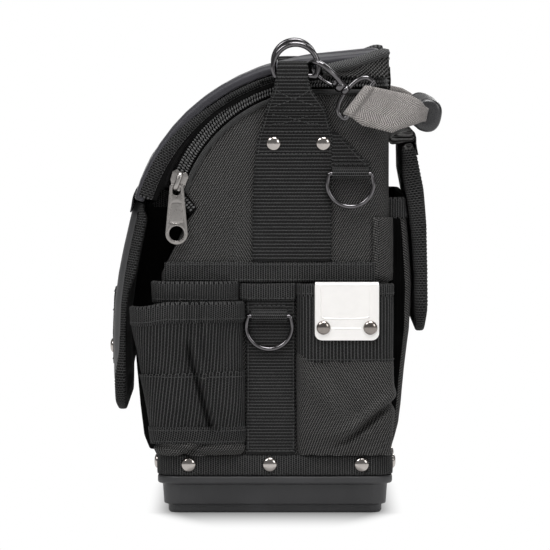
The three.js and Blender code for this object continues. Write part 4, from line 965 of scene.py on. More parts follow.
def waist(side):
    y = span(-77, 70, 70)
    path = np.stack([FACE + 1.2 + 0.18 * np.sin(y / 6.5), y, np.full(70, 168.7)], 1)
    shape = sweep(path, UP, RIGHT, 14.4, 2.2, crown=0.3)
    put(f"waist_webbing{side}", shape, WEB_FINE, "bag", "webbing", f"waist_band{side}")
    heap = Heap()
    for z in (173.9, 163.6):
        sew_level(heap, FACE + 2.42, z, -75, 68, 40)
    put(f"waist_stitches{side}", heap, THREAD, "bag", "webbing")


# Side pockets, each as (height, y of its free edge, x of its face) rows, y of its fixed edge, and roundness

FRONT_ROWS = [(41.3, -85.4, 124), (55, -87, 128.5), (74, -89.5, 132), (96, -94, 135)]
FRONT_ROWS += [(112, -97, 137.2), (133, -100.8, 139), (147, -101.5, 139.5)]
INNER_ROWS = [(86, -78, 124), (120, -84, 128.5), (161, -87, 130)]
REAR_ROWS = [(41.3, 82, 124.5), (56, 82.6, 128.5), (84, 83.6, 131.5), (112, 83, 132), (160, 83, 132)]
FRONT_POUCH = (FRONT_ROWS, -20.9, 3.2)
INNER_POUCH = (INNER_ROWS, -24.5, 3.2)
REAR_POUCH = (REAR_ROWS, 14.9, 5)
POUCH_X = 110  # middle of every pocket's round, inside the wall


def pouch_ring(pouch, z, grow, count):
    """The pocket's outline at a height, from its front edge round to its rear edge."""
    rows, fixed, power = pouch
    table = np.array(rows)
    edge = np.interp(z, table[:, 0], table[:, 1])
    middle = (edge + fixed) / 2
    ry = abs(edge - fixed) / 2 + grow
    rx = np.interp(z, table[:, 0], table[:, 2]) - POUCH_X + grow
    last = math.acos(min((8.5 / rx) ** (power / 2), 1))
    a = span(-last, last, 400)
    c, s = np.cos(a), np.sin(a)
    x = POUCH_X + rx * np.abs(c) ** (2 / power)
    y = middle + ry * np.sign(s) * np.abs(s) ** (2 / power)
    return spread(np.stack([x, y, np.full(len(a), z)], 1), count)


def pouch_grid(pouch, z, grow, dent, count=110):
    grid = np.stack([pouch_ring(pouch, h, grow, count) for h in z])
    n = face_normals(grid)
    if n[len(z) // 2, count // 2, 0] < 0:
        n = -n
    along = np.stack([lengths(r) - lengths(r)[-1] for r in grid])
    grid = grid + n * dent(grid)[..., None]
    if pouch is FRONT_POUCH:
        grid[..., 2] -= 3.6 * step(-grid[..., 1], 72, 96) * step(grid[..., 2], 112, 147)
    if pouch is REAR_POUCH:
        along = along - along[:, :1]
    coords = np.stack([np.repeat(np.asarray(z)[:, None], count, 1), along], 2)
    return grid, n, coords


def pouch_piece(
    name, pouch, levels, thickness, grow, dent, material, *nodes, slot="webbing", count=110, tilt=0.0
):
    """A part of a pocket between two heights. Plain cloth has its weave turned upright."""
    grid, _, coords = pouch_grid(pouch, span(*levels), grow, dent, count)
    grid[..., 2] += step(grid[..., 2], 85, 98) * tilt * (grid[..., 1] + 60)
    if slot == "cloth":
        coords = coords[..., ::-1]
    put(name, slab(grid, thickness, coords), material, "bag", slot, *nodes)


def pouch_seam(heap, pouch, height, grow, dent, count=110):
    g, n, _ = pouch_grid(pouch, (height - 1, height, height + 1), grow, dent, count)
    heap.sew(g[1][3:-3], n[1][3:-3])


def line_gap(p, y0, z0, y1, z1):
    """The signed distance from a line in the y-z plane, and how far along it a point lies."""
    d = np.array([y1 - y0, z1 - z0])
    size = np.hypot(*d)
    d = d / size
    y, z = p[..., 1] - y0, p[..., 2] - z0
    return y * d[1] - z * d[0], (y * d[0] + z * d[1]) / size


def front_dent(p):
    y, z = p[..., 1], p[..., 2]
    gap, along = line_gap(p, -59.5, 120, -42.2, 59)
    inside = step(along, -0.1, 0.22) * (1 - step(along, 0.97, 1.06))
    fold = -5.6 * bump(gap, 1.6, 1.9) + 4.6 * bump(gap, -2.6, 2.5) - 1.4 * bump(gap, 8, 5)
    pleats = 1.7 * np.sin(y * 2 * math.pi / 8 + 1.2) * bump(y, -56, 13) * step(z, 88, 112)
    hollow = -4.6 * bump(y, -34, 9) * bump(z, 121, 18)
    low = 2.0 * bump(y, -74, 9) * bump(z, 76, 16) - 2.0 * bump(y, -61, 5) * bump(z, 68, 13)
    corner = -1.6 * bump(y, -82, 8) * bump(z, 104, 24)
    rim = -1.8 * bump(y, -42, 16) * step(z, 120, 147)
    return fold * inside + pleats + hollow + low + corner + rim + 0.8 * wobble(p, 24.0, 1.0)


def foot_dent(p):
    y, z = p[..., 1], p[..., 2]
    gap, along = line_gap(p, -86, 49, -48, 43)
    fold = -2.6 * bump(gap, 0, 1.5) * (1 - step(along, 0.8, 1.2))
    gap, _ = line_gap(p, -64, 41, -44, 54)
    second = -2.8 * bump(gap, 0, 1.7) + 1.6 * bump(gap, -3.5, 2.5)
    belly = 3.0 * bump(z, 46, 4) * (1 - 0.5 * bump(y, -84, 8))
    return belly + fold + second + 0.9 * wobble(p, 11.0, 4.0)


def rear_dent(p):
    """One deep crease runs down and forward from the rear edge, under a fold that hangs over it."""
    y, z = p[..., 1], p[..., 2]
    gap = z - (50 + 30 * step(y, 36, 90) ** 1.2)
    fold = -5.6 * bump(gap, -0.5, 2.6) + 3.6 * bump(gap, 5.4, 4.6) + 1.4 * bump(gap, -8, 5.0)
    fold *= step(y, 30, 62) * (1 - 0.6 * step(y, 72, 84))
    gap, along = line_gap(p, 30, 108, 62, 66)
    soft = -1.9 * bump(gap, 0, 6) * bump(along, 0.4, 0.5) + 1.5 * bump(gap, 11, 7) * bump(along, 0.4, 0.6)
    gap, along = line_gap(p, 44, 110, 66, 86)
    third = -1.2 * bump(gap, 0, 3) * bump(along, 0.4, 0.4)
    belly = 1.8 * bump(z, 74, 26) * bump(y, 50, 30)
    return fold * (1 - step(z, 100, 110)) + soft + third + belly + 0.6 * wobble(p, 26.0, 7.0)


def front_pockets(side):
    def both(p):
        return front_dent(p) + 0.25 * wobble(p, 20.0, 2.0)

    def half(p):
        return 0.5 * front_dent(p)

    def band(p):
        return half(p) + 0.4 * wobble(p, 12.0, 5.0)

    def inner(p):
        return 0.4 * wobble(p, 25.0, 9.0)

    def inner_seam(p):
        return 0.7 * wobble(p, 22.0, 9.0)

    def inner_rim(p):
        return inner_seam(p) - 0.9 * bump(p[..., 1], -66, 4)

    # Name, heights with their count, thickness, how far it stands out, dents, material and the rest
    node = f"front_side_pocket{side}"
    for name, *values, more in (
        ("", (58, 146.2, 62), 1.7, -0.4, front_dent, POCKET_RIB, node, {}),
        ("_lower", (55, 98.5, 32), 1.1, 0.75, both, POCKET_RIB, {"tilt": 0.035}),
        ("_foot", (41.4, 54.5, 12), 1.6, -0.5, foot_dent, CLOTH, {"slot": "cloth"}),
        ("_band", (49.3, 60.6, 7), 1.2, 1.5, band, WEB_FINE, {}),
        ("_rim", (135.4, 147, 7), 4.2, 0.6, front_dent, WEB_FINE, {}),
    ):
        pouch_piece(f"pocket_front{name}{side}", FRONT_POUCH, *values, **more)
    heap = Heap()
    seams = ((136.9, 0.7, front_dent), (58.7, 1.6, half), (51.0, 1.6, half), (96.4, 0.85, both))
    for height, grow, dent in seams:
        pouch_seam(heap, FRONT_POUCH, height, grow, dent)
    values = ((86, 160.4, 36), 1.6, -0.6, inner, CLOTH, f"inner_side_pocket{side}")
    pouch_piece(f"pocket_inner{side}", INNER_POUCH, *values, count=80)
    values = ((148.6, 161, 7), 3.8, 0.5, inner_rim, WEB_FINE)
    pouch_piece(f"pocket_inner_rim{side}", INNER_POUCH, *values, count=90)
    pouch_seam(heap, INNER_POUCH, 150.2, 0.55, inner_seam, 90)
    put(f"pocket_front_stitches{side}", heap, THREAD, "bag", "webbing")


def rear_side_pocket(side):
    def soft(p):
        return 0.35 * wobble(p, 25.0, 7.0)

    pocket = REAR_POUCH
    values = ((41.4, 112, 60), 1.7, -0.5, rear_dent, CLOTH, f"rear_side_pocket{side}")
    pouch_piece(f"pocket_rear{side}", pocket, *values, slot="cloth")
    pouch_piece(f"pocket_rear_band{side}", pocket, (107, 157, 30), 1.9, -0.25, soft, POCKET_RIB)
    pouch_piece(f"pocket_rear_rim{side}", pocket, (153.2, 159.9, 7), 2.9, 0.15, soft, WEB_FINE)
    heap = Heap()
    for height in (108.4, 154.4):
        pouch_seam(heap, pocket, height, 0.1, soft)
    g, n, _ = pouch_grid(pocket, span(43, 60, 12), -0.4, rear_dent)
    pick = [(i, min(92 + i, 108)) for i in range(12)]
    heap.sew([g[at] for at in pick], [n[at] for at in pick])
    put(f"pocket_rear_stitches{side}", heap, THREAD, "bag", "webbing")


# Front and rear pockets, and the strip round the rear corner

REAR_POCKET = [(83.2, 46), (85.6, 53), (88.3, 62), (90.2, 75), (92.4, 100), (95.6, 128), (96.3, 159)]
REAR_POCKET += [(94.4, 190), (91.6, 219)]
FRONT_RIM = [(-91.5, 205), (-89.6, 215), (-86.3, 224)]


def box_pocket(name, profile, half, back, levels, grow, thickness, dent, material, *nodes, slot="webbing"):
    """A pocket on the front or rear wall, each level of which runs out, across and back."""
    away, count = (1 if back > 0 else -1), 150
    rows = []
    for h in span(*levels):
        face, side = at_height(profile, h) + away * grow, half + grow
        r = min(6.0, abs(face - back) * 0.7)
        pts = [(side, back)]
        for sx, start in ((1, 0), (-1, 90)):
            for x, y in arc(sx * (side - r), 0, r, span(start, start + 90, 7)):
                pts.append((x, face - away * r + away * y))
        rows.append(spread([(x, y, h) for x, y in pts + [(-side, back)]], count))
    grid = np.array(rows)
    n = face_normals(grid)
    if n[len(rows) // 2, count // 2, 1] * away < 0:
        n = -n
    grid = grid + n * dent(grid)[..., None]
    coords = np.stack([grid[..., 2], np.stack([lengths(r) for r in grid])], 2)
    put(name, slab(grid, thickness, coords, (0, away, 0)), material, "bag", slot, *nodes)
    return grid[1][8:-8], n[1][8:-8]


def painted_shade_sides_or_inside(p, n):
    """True for the side walls, whose lining paints the shade of the recess beside the flap, and for the
    inside of the front pocket.
    """
    return abs(n[0]) > 0.7 or n[1] > -0.2 or p[2] > 222


def on_pocket(co, nor):
    return np.stack([co[:, 2], np.where(np.abs(nor[:, 0]) > 0.7, co[:, 1], co[:, 0]), co[:, 0] * 0], 1)


def wall_pockets():
    def soft(p):
        low = bump(p[..., 2], 90, 40)
        return 0.7 * wobble(p, 45.0, 3.0) + 0.9 * low * np.cos(p[..., 0] / 34.0) - 0.4

    heap = Heap()
    place = (REAR_POCKET, 104, 79.8)
    wall = (*place, (46, 218.5, 84), -0.7, 1.7, soft, CLOTH, "rear_pocket")
    box_pocket("pocket_wall_rear", *wall, slot="cloth")
    for side, name in ((1, "pocket_wall_gusset_right"), (-1, "pocket_wall_gusset_left")):
        rows = []
        for h in span(48, 205, 60):
            edge = at_height(REAR_POCKET, h)
            rows.append([(side * 104.2, 80.6 + (edge - 86.2) * k, h) for k in span(0, 1, 6)])
        o = mesh_object(name, *slab(rows, 0.8, out=(side, 0, 0)), mirrored=False)
        # Near black: the cloth's own black, with painted shade of the recess.
        dress(o, GUSSET_BLACK_AND_PAINTED_SHADE, "bag", "cloth")
    rim = ([(y + 0.3, h) for y, h in REAR_POCKET], *place[1:])
    rim = (*rim, (206.5, 219.2, 8), 0.0, 2.9, soft, WEB_FINE)
    heap.sew(*box_pocket("pocket_wall_rear_rim", *rim))
    o = refined("front_pocket", "pocket_wall_front", 1.2, 4, CLOTH, "bag", "webbing", on_pocket)
    # The pocket's side walls take the near-black lining as painted shade.
    line_inside(o, painted_shade_sides_or_inside)
    rim = (FRONT_RIM, 76, -68, (213, 224, 7), 0.5, 1.4, soft, WEB_FINE)
    heap.sew(*box_pocket("pocket_wall_front_rim", *rim))
    put("pocket_wall_stitches", heap, THREAD, "bag", "webbing")


def corner_strip(side):
    lift, z = 1.4, 184.5
    bend = arc(104, 65.5, CORNER + SEAT + lift, span(15, 88, 16))
    line = [(FACE + lift, y, z) for y in (72.0, 69.0)] + [(a, b, z) for a, b in bend if b >= 69.0]
    line = resample(line, 1.6)
    t = unit(np.gradient(line, axis=0))
    out = np.stack([t[:, 1], -t[:, 0], np.zeros(len(t))], 1)
    line = line + out * (0.25 * wobble(line, 9.0, 2.0))[:, None]
    shape = sweep(line, UP, out, 44.6, 2.5, crown=0.3)
    put(f"corner_cloth{side}", shape, CLOTH, "bag", "cloth", f"corner_strip{side}")


# Lid

LID_Y, LID_Z, LID_R = 32.0, 182.0, 135.6
# The bound edge's middle line at the rear corner, as (y, z)
LID_CORNER = [(34, 309.6), (45, 312), (57, 314.8), (67, 318.4), (74, 321.2), (78.6, 321.4)]
LID_REAR = (73.5, 322.5)
PANEL_DEPTH, CORD, STRIP = 7.7, 4.4, 7.2  # down from the lid's top to its edging, and that edging's parts
SLIDER_ROOM = 6.6  # above the zip's line
EDGING_ENDS = (-90, 30)
EDGING_BULGE = (1.2, 2.2, 2.7, 2.2, 1.2, 0.2, 0.0)


def lid_panel():
    def plump(co, nor):
        x, y = np.abs(co[:, 0]), co[:, 1]
        inner = 1 - step(x, 100, 117)
        soft = 0.5 * wobble(co, 60.0, 5.0) * inner + 0.25 * wobble(co, 16.0, 2.0) * inner
        roll = 0.3 * bump(x, 111, 4) - 1.1 * bump(x, 103.5, 2.6)
        sink = 6.4 * (1 - np.clip(x / 117, 0, 1) ** 2) + 2.5 * step(y, 5, 60) * (1 - step(x, 80, 114))
        sink += 3.6 * step(-co[:, 0], 10, 112) * (1 - step(y, -12, 30))
        sink *= step(y, -100, -78)
        top = ((nor[:, 2] > 0.2) | (nor[:, 1] < -0.6)) & (np.hypot(y - LID_Y, co[:, 2] - LID_Z) > LID_R - 5)
        return co + nor * np.where(top, soft + roll - sink, 0.0)[:, None]

    def over_lid(co, nor):
        angle = np.arctan2(co[:, 2] - LID_Z, co[:, 1] - LID_Y)
        return np.stack([co[:, 0], angle * LID_R, co[:, 1] * 0], 1)

    # The lid's top takes the satin copy that is painted lighter for the light from above.
    where = (LID_SATIN_PAINTED_LIT, "lid", "smooth_panel", over_lid, plump)
    refined("lid_panel", "lid_padded_panel", 1.7, 8, *where, padded=0.3)


def edging_coords(grid, across):
    coords = np.zeros(grid.shape)
    coords[..., 0] = across
    coords[..., 1] = lengths(grid[:, 0])[:, None]
    return coords


def lid_binding(side):
    """A cord along the lid's side edge, with a flat strip below it."""
    top = arc(LID_Y, LID_Z, LID_R - PANEL_DEPTH, span(164, 97, 60))
    rows = []
    for y, z in resample(np.vstack([top, [(LID_REAR[0], LID_REAR[1] - PANEL_DEPTH)]]), 2.0):
        if not EDGING_ENDS[0] <= y <= EDGING_ENDS[1]:
            continue
        away = unit(vec(y - LID_Y, z - LID_Z) if y < 16 else vec(-0.1, 1.0))
        reach = 4.8 * step(-y, 40, 84)
        drops = [(reach + CORD) * k - reach for k in (0, 0.2, 0.5, 0.8, 1)] + [CORD + 0.3, STRIP]
        rows.append([(FACE + x, y - away[0] * d, z - away[1] * d) for x, d in zip(EDGING_BULGE, drops)])
    grid = np.array(rows)
    # It lies flat wherever the slider passes.
    passed = np.hypot(grid[..., 1] - ZIP_Y, grid[..., 2] - ZIP_Z) < ZIP_R + SLIDER_ROOM
    grid[..., 0] = np.where(passed, np.minimum(grid[..., 0], FACE - 0.1), grid[..., 0])
    shape = slab(grid, 2.0, edging_coords(grid, span(0, 7.4, 7)))
    o = put(f"lid_edging{side}", shape, BINDING, "lid", "webbing", f"lid_binding{side}")

    def beneath(p, n):
        return abs(p[0]) < FACE + 0.7 and math.hypot(p[1] - LID_Y, p[2] - LID_Z) < LID_R - 11.5

    line_inside(o, beneath)
    heap = Heap()
    heap.sew(grid[:, 4] + vec(0.05, 0, 0), RIGHT, 2.6, 1.7, 0.24)
    put(f"lid_stitches{side}", heap, THREAD, "lid", "webbing")


def lid_corner(side):
    """The bound edge that turns up to the lid's rear corner, and the cloth between it and the zip."""
    line = resample(spline(LID_CORNER, 8), 1.6)
    low = ZIP_TOP + 3.6
    edge, cloth = [], []
    for (y, z), (ty, tz) in zip(line, unit(np.gradient(line, axis=0))):
        half = 3.5 * math.sqrt(max(1 - ((y - 40) / 44) ** 6, 0.05))
        fold = 0.9 * math.sin((z - low) * 0.5 + y * 0.13)
        across = ((FACE + 4.6 - 2.4 * k * k, half * k) for k in (-1, -0.6, 0, 0.6, 1))
        edge.append([(x, y - tz * d, z + ty * d) for x, d in across])
        upward = ((FACE + 2.2 + fold * math.sin(math.pi * k), k) for k in span(0, 1, 9))
        cloth.append([(x, y, low + (z - low) * k) for x, k in upward])
    for name, rows, thickness, material in (("edge", edge, 3.2, EDGE_TWILL), ("cloth", cloth, 1.6, CLOTH)):
        grid = np.array(rows)
        shape = slab(grid, thickness, edging_coords(grid, lengths(grid[len(grid) // 2])))
        put(f"lid_corner_{name}{side}", shape, material, "lid", "webbing" if name == "edge" else "cloth")


# Flaps, whose faces are (y, z) lines from the hinge to the foot or back

FLAP_OUTER = [(-98.4, 218.9), (-101.8, 205), (-106.3, 185), (-110, 166), (-112.6, 146), (-113.6, 120)]
FLAP_OUTER += [(-113.2, 95), (-111.5, 80), (-108.8, 73)]
FLAP_INNER = [(-104, 74), (-104.3, 95), (-104.5, 120), (-103.5, 145), (-101, 164), (-97.5, 183)]
FLAP_INNER += [(-93.2, 203), (-91.8, 216.8)]
REAR_OUTER = [(97.5, 258.5), (100.4, 245), (104.2, 225.6), (106.4, 200), (107, 170)]
REAR_OUTER += [(106.5, 142), (104.6, 130)]
REAR_INNER = [(98.6, 130), (97.8, 145), (97.8, 165), (96.2, 190), (93.4, 215), (89.4, 236), (89, 257)]


def flap_edge(half, foot, corner, top, inset):
    """The flap's outline from its right top, round its foot, to its left top, as (x, z)."""
    h, c, f = half - inset, corner - inset, foot + inset
    pts = [(h, top), (h, f + c)] + list(arc(h - c, f + c, c, span(0, -90, 14)[1:]))
    return resample(pts + [(-x, z) for x, z in pts[::-1]], 2.2)


def flap_binding(body, outer, inner, outline, away, width, puff, thin, inward):
    line = flap_edge(*outline, width / 2 - 0.6)
    x, z = line[:, 0], line[:, 1]
    foot = outline[1]
    far = at_height(outer, z) - away * thin * step(z, foot + 6, foot + 52)
    near = at_height(inner, z) - away * inward * step(z, 152, 170) * (1 - step(z, 206, 215))
    path = np.stack([x, (near + far) / 2, z], 1)
    tangent = unit(np.gradient(path, axis=0))
    out = np.tile(vec(0, away, 0), (len(path), 1))
    out = unit(out - tangent * (out * tangent).sum(1)[:, None])
    across = np.cross(tangent, out)
    thick = np.abs(far - near) + puff
    s = span(0, 2 * math.pi, 28, endpoint=False)
    u, v = (np.sign(c) * np.abs(c) ** 0.55 for c in (np.cos(s), np.sin(s)))
    u = u * width / 2
    deep = (v * thick[:, None] / 2)[..., None]
    pts = path[:, None] + across[:, None] * u[None, :, None] + out[:, None] * deep
    coords = edging_coords(pts, u + v * 3)
    coords[..., 1] = lengths(path)[:, None]
    shape = pts.reshape(-1, 3), ring_faces(len(pts), 28), coords.reshape(-1, 3)
    put(f"{body}_edging", shape, BINDING, body, "webbing")
    flip = 1 if across[0, 0] < 0 else -1
    seam = path + across * (width / 2 - 1.6) * flip + out * (thick / 2 * 0.99)[:, None]
    heap = Heap()
    heap.sew(seam, out, 2.8, 2.0, 0.28)
    put(f"{body}_edging_stitches", heap, THREAD, body, "webbing")


def flaps():
    def slim(co, nor):
        x, z = np.abs(co[:, 0]), co[:, 2]
        outer = co[:, 1] < (at_height(FLAP_OUTER, z) + at_height(FLAP_INNER, z)) / 2
        edge = np.maximum(step(x, 92, 114), 1 - step(z, 74, 92))
        push = (0.6 + 5.0 * step(z, 77, 123)) * edge - 0.5 * wobble(co, 55.0, 2.0) * (1 - edge)
        beside = 4.0 * bump(x, 96, 13) * step(z, 84, 110) * (1 - step(z, 205, 214))
        moved = co.copy()
        moved[:, 1] += np.where(outer, push, beside)
        return moved

    def slim_rear(co, nor):
        x, z = np.abs(co[:, 0]), co[:, 2]
        outer = co[:, 1] > (at_height(REAR_OUTER, z) + at_height(REAR_INNER, z)) / 2
        edge = np.maximum(step(x, 84, 102), 1 - step(z, 128, 142))
        moved = co.copy()
        moved[:, 1] -= np.where(outer, 1.4 * edge - 0.4 * wobble(co, 40.0, 8.0) * (1 - edge), 0.0)
        return moved

    def within(p, n):
        return p[1] > (at_height(FLAP_OUTER, p[2]) + 2 * at_height(FLAP_INNER, p[2])) / 3 and n[1] > -0.3

    where = (SATIN, "front_flap", "smooth_panel", on_wall, slim)
    line_inside(refined("front_flap", "front_flap_panel", 1.8, 8, *where, padded=0.7), within)
    flap_binding("front_flap", FLAP_OUTER, FLAP_INNER, (116, 71, 34, 216.5), -1, 11.5, 0.9, 5.4, 3.0)
    z = span(152, 98, 30)
    path = np.stack([np.zeros(30), at_height(FLAP_OUTER, z) - SEAT - 1.2, z], 1)
    tab = sweep(path, RIGHT, (0, -1, 0), 28, 2.2, crown=0.2)
    put("flap_tab", tab, WEB, "front_flap", "webbing", "flap_pull_tab")
    put("flap_tab_rivet", rivet_head((0, -116.0, 110), (0, -1, 0)), NICKEL, "front_flap", "nickel")
    heap = Heap()
    for h in (149.5, 136.0, 101.0):
        y = at_height(FLAP_OUTER, h) - SEAT - 2.4
        heap.sew([(x, y, h) for x in span(-12, 12, 9)], (0, -1, 0))
    put("flap_tab_stitches", heap, THREAD, "front_flap", "webbing")
    where = (CLOTH, "rear_flap", "cloth", on_wall, slim_rear)
    refined("rear_flap", "rear_flap_panel", 1.8, 8, *where, padded=0.6)
    flap_binding("rear_flap", REAR_OUTER, REAR_INNER, (104, 126, 26, 254), 1, 10.5, 0.9, 0.9, 0.0)
    refined("rear_flap_root", "rear_flap_hem", 1.5, 6, CLOTH, "bag", "cloth", on_wall)


def hinge(name, points, half, a, b, start, end, material, slot):
    """A strip of cloth over a fold line, given as (y, z) points across the fold."""
    line = resample(spline(points, 6), 1.0)
    middle, cols = len(line) // 2, 44
    ty, tz = unit(np.gradient(line, axis=0))[middle]
    n = vec(0, ty, -tz)
    if n @ vec(0, line[middle][0], 40) < 0:
        n = -n
    x = span(-half, half, cols)
    grid = np.stack([np.stack([x, np.full(cols, y), np.full(cols, z)], 1) for y, z in line])
    coords = np.stack([grid[..., 0], np.repeat(lengths(line)[:, None], cols, 1)], 2)
    o = mesh_object(name, *slab(grid, 1.0, coords, n))
    o.data.materials.append(material)
    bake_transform(o)


def hinges():
    lid = [(80.7, 292), (80.9, 297), (81.2, 301.7), (80.9, 306.4), (80.7, 311)]
    hinge("lid_hinge_cloth", lid, 93, "bag", "lid", (80, 297.5), (80, 306), CLOTH, "cloth")
    front = [(-97.0, 226.5), (-98.8, 222.5), (-99.7, 219), (-100.2, 215.5), (-101.2, 210.5)]
    ends = ((-98.5, 222.5), (-99.5, 215.5))
    hinge("flap_hinge_cloth", front, 113, "lid", "front_flap", *ends, SATIN, "smooth_panel")
    rear = [(94.5, 267.9), (97.6, 265.8), (98.9, 262), (99.0, 258.5), (99.4, 255), (100.4, 250)]
    hinge("rear_hinge_cloth", rear, 98, "bag", "rear_flap", (98.3, 262), (98.8, 255.5), CLOTH, "cloth")


# Metal parts


def crisp(o, angle=24):
    o.data.set_sharp_from_angle(angle=math.radians(angle))


def cut_plate(loops, thickness, bevel, place):
    """A flat plate cut to closed outlines in two coordinates; place turns (a, b, height) into a point."""
    curve = bpy.data.curves.new("outline", "CURVE")
    curve.dimensions = "2D"
    curve.fill_mode = "BOTH"
    curve.extrude = thickness / 2 - bevel
    curve.bevel_depth = bevel
    curve.bevel_resolution = 2
    curve.offset = -bevel
    for loop in loops:
        line = curve.splines.new("POLY")
        line.points.add(len(loop) - 1)
        for p, (a, b) in zip(line.points, loop):
            p.co = (a, b, 0, 1)
        line.use_cyclic_u = True
    source = link_object("outline", curve)
    graph = bpy.context.evaluated_depsgraph_get()
    made = bpy.data.meshes.new_from_object(source.evaluated_get(graph))
    pts = [place(*p.co) for p in made.vertices]
    faces = [tuple(p.vertices) for p in made.polygons]
    bpy.data.objects.remove(source)
    bpy.data.meshes.remove(made)
    bpy.data.curves.remove(curve)
    # Vertices that the fill and the bevel have in common are joined.
    key, index, keep = {}, [], []
    for p in pts:
        k = tuple(np.round(p, 4))
        if k not in key:
            key[k] = len(keep)
            keep.append(p)
        index.append(key[k])
    faces = [tuple(index[i] for i in f) for f in faces]
    return np.array(keep), [f for f in faces if len(set(f)) == len(f)], np.array(keep)


def tape_clip():
    x, top, y = 132.95, 160.2, 50.0
    z = np.r_[122.0, span(122.15, 127, 10), span(129, top, 14)]
    path = [(x, y, h) for h in z]
    half = [17.4 + math.sqrt(max(25 - (5 - min(h - 122, 5)) ** 2, 0)) for h in z]
    for a in np.radians(span(15, 165, 9)):
        path.append((x - 2.1 + 2.1 * math.cos(a), y, top + 1.75 * math.sin(a)))
        half.append(22.2)
    for h in (top, 156, 152, 150.4):
        path.append((x - 4.3, y, h))
        half.append(18.4)
    shape = sweep(path, REAR, normals_xz(path, 1), np.array(half) * 2, 1.15)
    crisp(put("clip_plate", shape, PLATE_PAINTED_REFLECTION, "bag", "nickel", "tape_clip"), 35)
    face = x + 0.5
    ridge = [(32, 158.2), (32, 141), (32.6, 138.4), (35.2, 137.3), (50, 137.1), (62.4, 137.4)]
    ridge = spline(ridge + [(65, 138.6), (65.7, 141), (65.7, 158.2)], 6)
    heap = Heap(tube([(face, a, b) for a, b in ridge], 0.42, 8))
    heap.add(tube([(face, a, 130.3 + 0.1 * math.sin(a)) for a in span(39, 59.5, 8)], 0.4, 8))
    put("clip_ridges", heap, PLATE_PAINTED_REFLECTION, "bag", "nickel")
    heads = Heap(*[rivet_head((x + 0.55, y + k, 130.8), RIGHT, 4.9) for k in (-16.3, 16.3)])
    put("clip_rivets", heads, CLIP_RIVET, "bag", "nickel")


RING_OPEN = 25  # degrees below its middle, where the ring's arc meets its bar


def d_ring(centre, radius, wire, up):
    x, y, z = centre
    bow = [(x, a, z + up * b) for a, b in arc(y, 0, radius, span(-RING_OPEN, 180 + RING_OPEN, 64))]
    turn = math.radians(RING_OPEN)
    low, wide = z - up * radius * math.sin(turn), radius * math.cos(turn)
    bar = [(x, y + k, low) for k in span(-wide + 3, wide - 3, 9)]
    first, last = ((x, y + k, low - up * 0.1) for k in (0.7 - wide, wide - 0.7))
    return tube(bow + [first] + bar + [last], wire, 16, closed=True)


def rings(side):
    drop = SMALL_RING_R * math.sin(math.radians(RING_OPEN))
    made = [("top", d_ring(TOP_RING, TOP_RING_R, 1.95, 1))]
    for name, (x, y, z) in (("side", SIDE_RING), ("lower", LOWER_RING)):
        made.append((name, d_ring((x, y, z - drop), SMALL_RING_R, 1.6, -1)))
    for name, ring in made:
        node = f"{name}_ring{side}"
        put(f"ring_{name}{side}", ring, BLACK_METAL, node, "black_metal", node)


HOOK, ROLL, SLOPE = (math.radians(a) for a in (38, 28, 12.4))
ALONG_HOOK = vec(0, math.cos(HOOK), -math.sin(HOOK))
ACROSS_HOOK = vec(0, math.sin(HOOK), math.cos(HOOK))
HOOK_SIDE = vec(math.cos(ROLL), 0, 0) + ACROSS_HOOK * math.sin(ROLL)
CONTACT = vec(TOP_RING[0], *arc(*TOP_RING[1:], TOP_RING_R, [-5])[0])
HOOK_R = 8.4
BEND = CONTACT + ALONG_HOOK * (HOOK_R - 5.9)
EYE_BAR = BEND + ALONG_HOOK * 34
ALONG_STRAP = vec(0, math.cos(SLOPE), -math.sin(SLOPE))
ACROSS_STRAP = vec(0, math.sin(SLOPE), math.cos(SLOPE))


def hooks(side):
    def wire(*keys):
        return [BEND + ALONG_HOOK * a + HOOK_SIDE * b for a, b in keys]

    def eye(*keys):
        return [BEND + ALONG_HOOK * a + ACROSS_HOOK * w for a, w in keys]

    keys = [(16.4, 3.2), (14, 5.0), (11, 6.8), (6, 8.1), *arc(0, 0, HOOK_R, span(90, 270, 13)), (3.6, -8.7)]
    path = spline(wire(*keys), 6)
    heap = Heap(tube(path, 1.9 + 0.25 * bump(span(0, 1, len(path)), 0.62, 0.2), 16))
    boss = [(2.7, 14.6), (3.9, 14.9), (4.5, 15.7), (4.7, 17.0), (4.6, 18.4), (4.0, 19.5), (2.7, 20.0)]
    heap.add(lathe(boss, BEND, ALONG_HOOK))
    heap.add(tube(wire((14.6, -5.9), (15.2, -3.0), (17, 0)), 1.7, 12))
    put(f"hook_wire{side}", heap, BLACK_METAL, f"hook{side}", "black_metal", f"snap_hook{side}")
    gate = tube(spline(wire((14.1, -6.2), (9.6, -8.1), (4.3, -8.9)), 5), 1.4, 14)
    put(f"gate_lever{side}", gate, BLACK_METAL, f"gate{side}", "black_metal", f"hook_gate{side}")
    keys = [(33.2, -16.4), (31, -16.4), (28.2, -15.8), (25.6, -13.2), (23.8, -9.4), (22.9, -4.6), (22.6, 0)]
    keys += [(a, -w) for a, w in keys[-2::-1]] + [(34, w) for w in (15.4, 12.5, 8, 3, -3, -8, -12.5, -15.4)]
    heap = Heap(tube(spline(eye(*keys, keys[0]), 4)[:-1], 1.7, 14, closed=True))
    collar = [(2.0, 19.6), (3.4, 20.4), (3.9, 21.2), (3.9, 22.6), (3.3, 23.6), (2.2, 24.2)]
    heap.add(lathe(collar, BEND, ALONG_HOOK))
    post = [(1.2, 11.4), (3.2, 11.9), (3.4, 12.8), (2.9, 14.2), (2.0, 14.8), (2.0, 21)]
    heap.add(lathe(post, BEND, ALONG_HOOK, 20))
    put(f"hook_eye{side}", heap, BLACK_METAL, "handle", "black_metal", f"swivel_eye{side}")


GRIP_HALF = 112
STRAP_HALF = 11.6


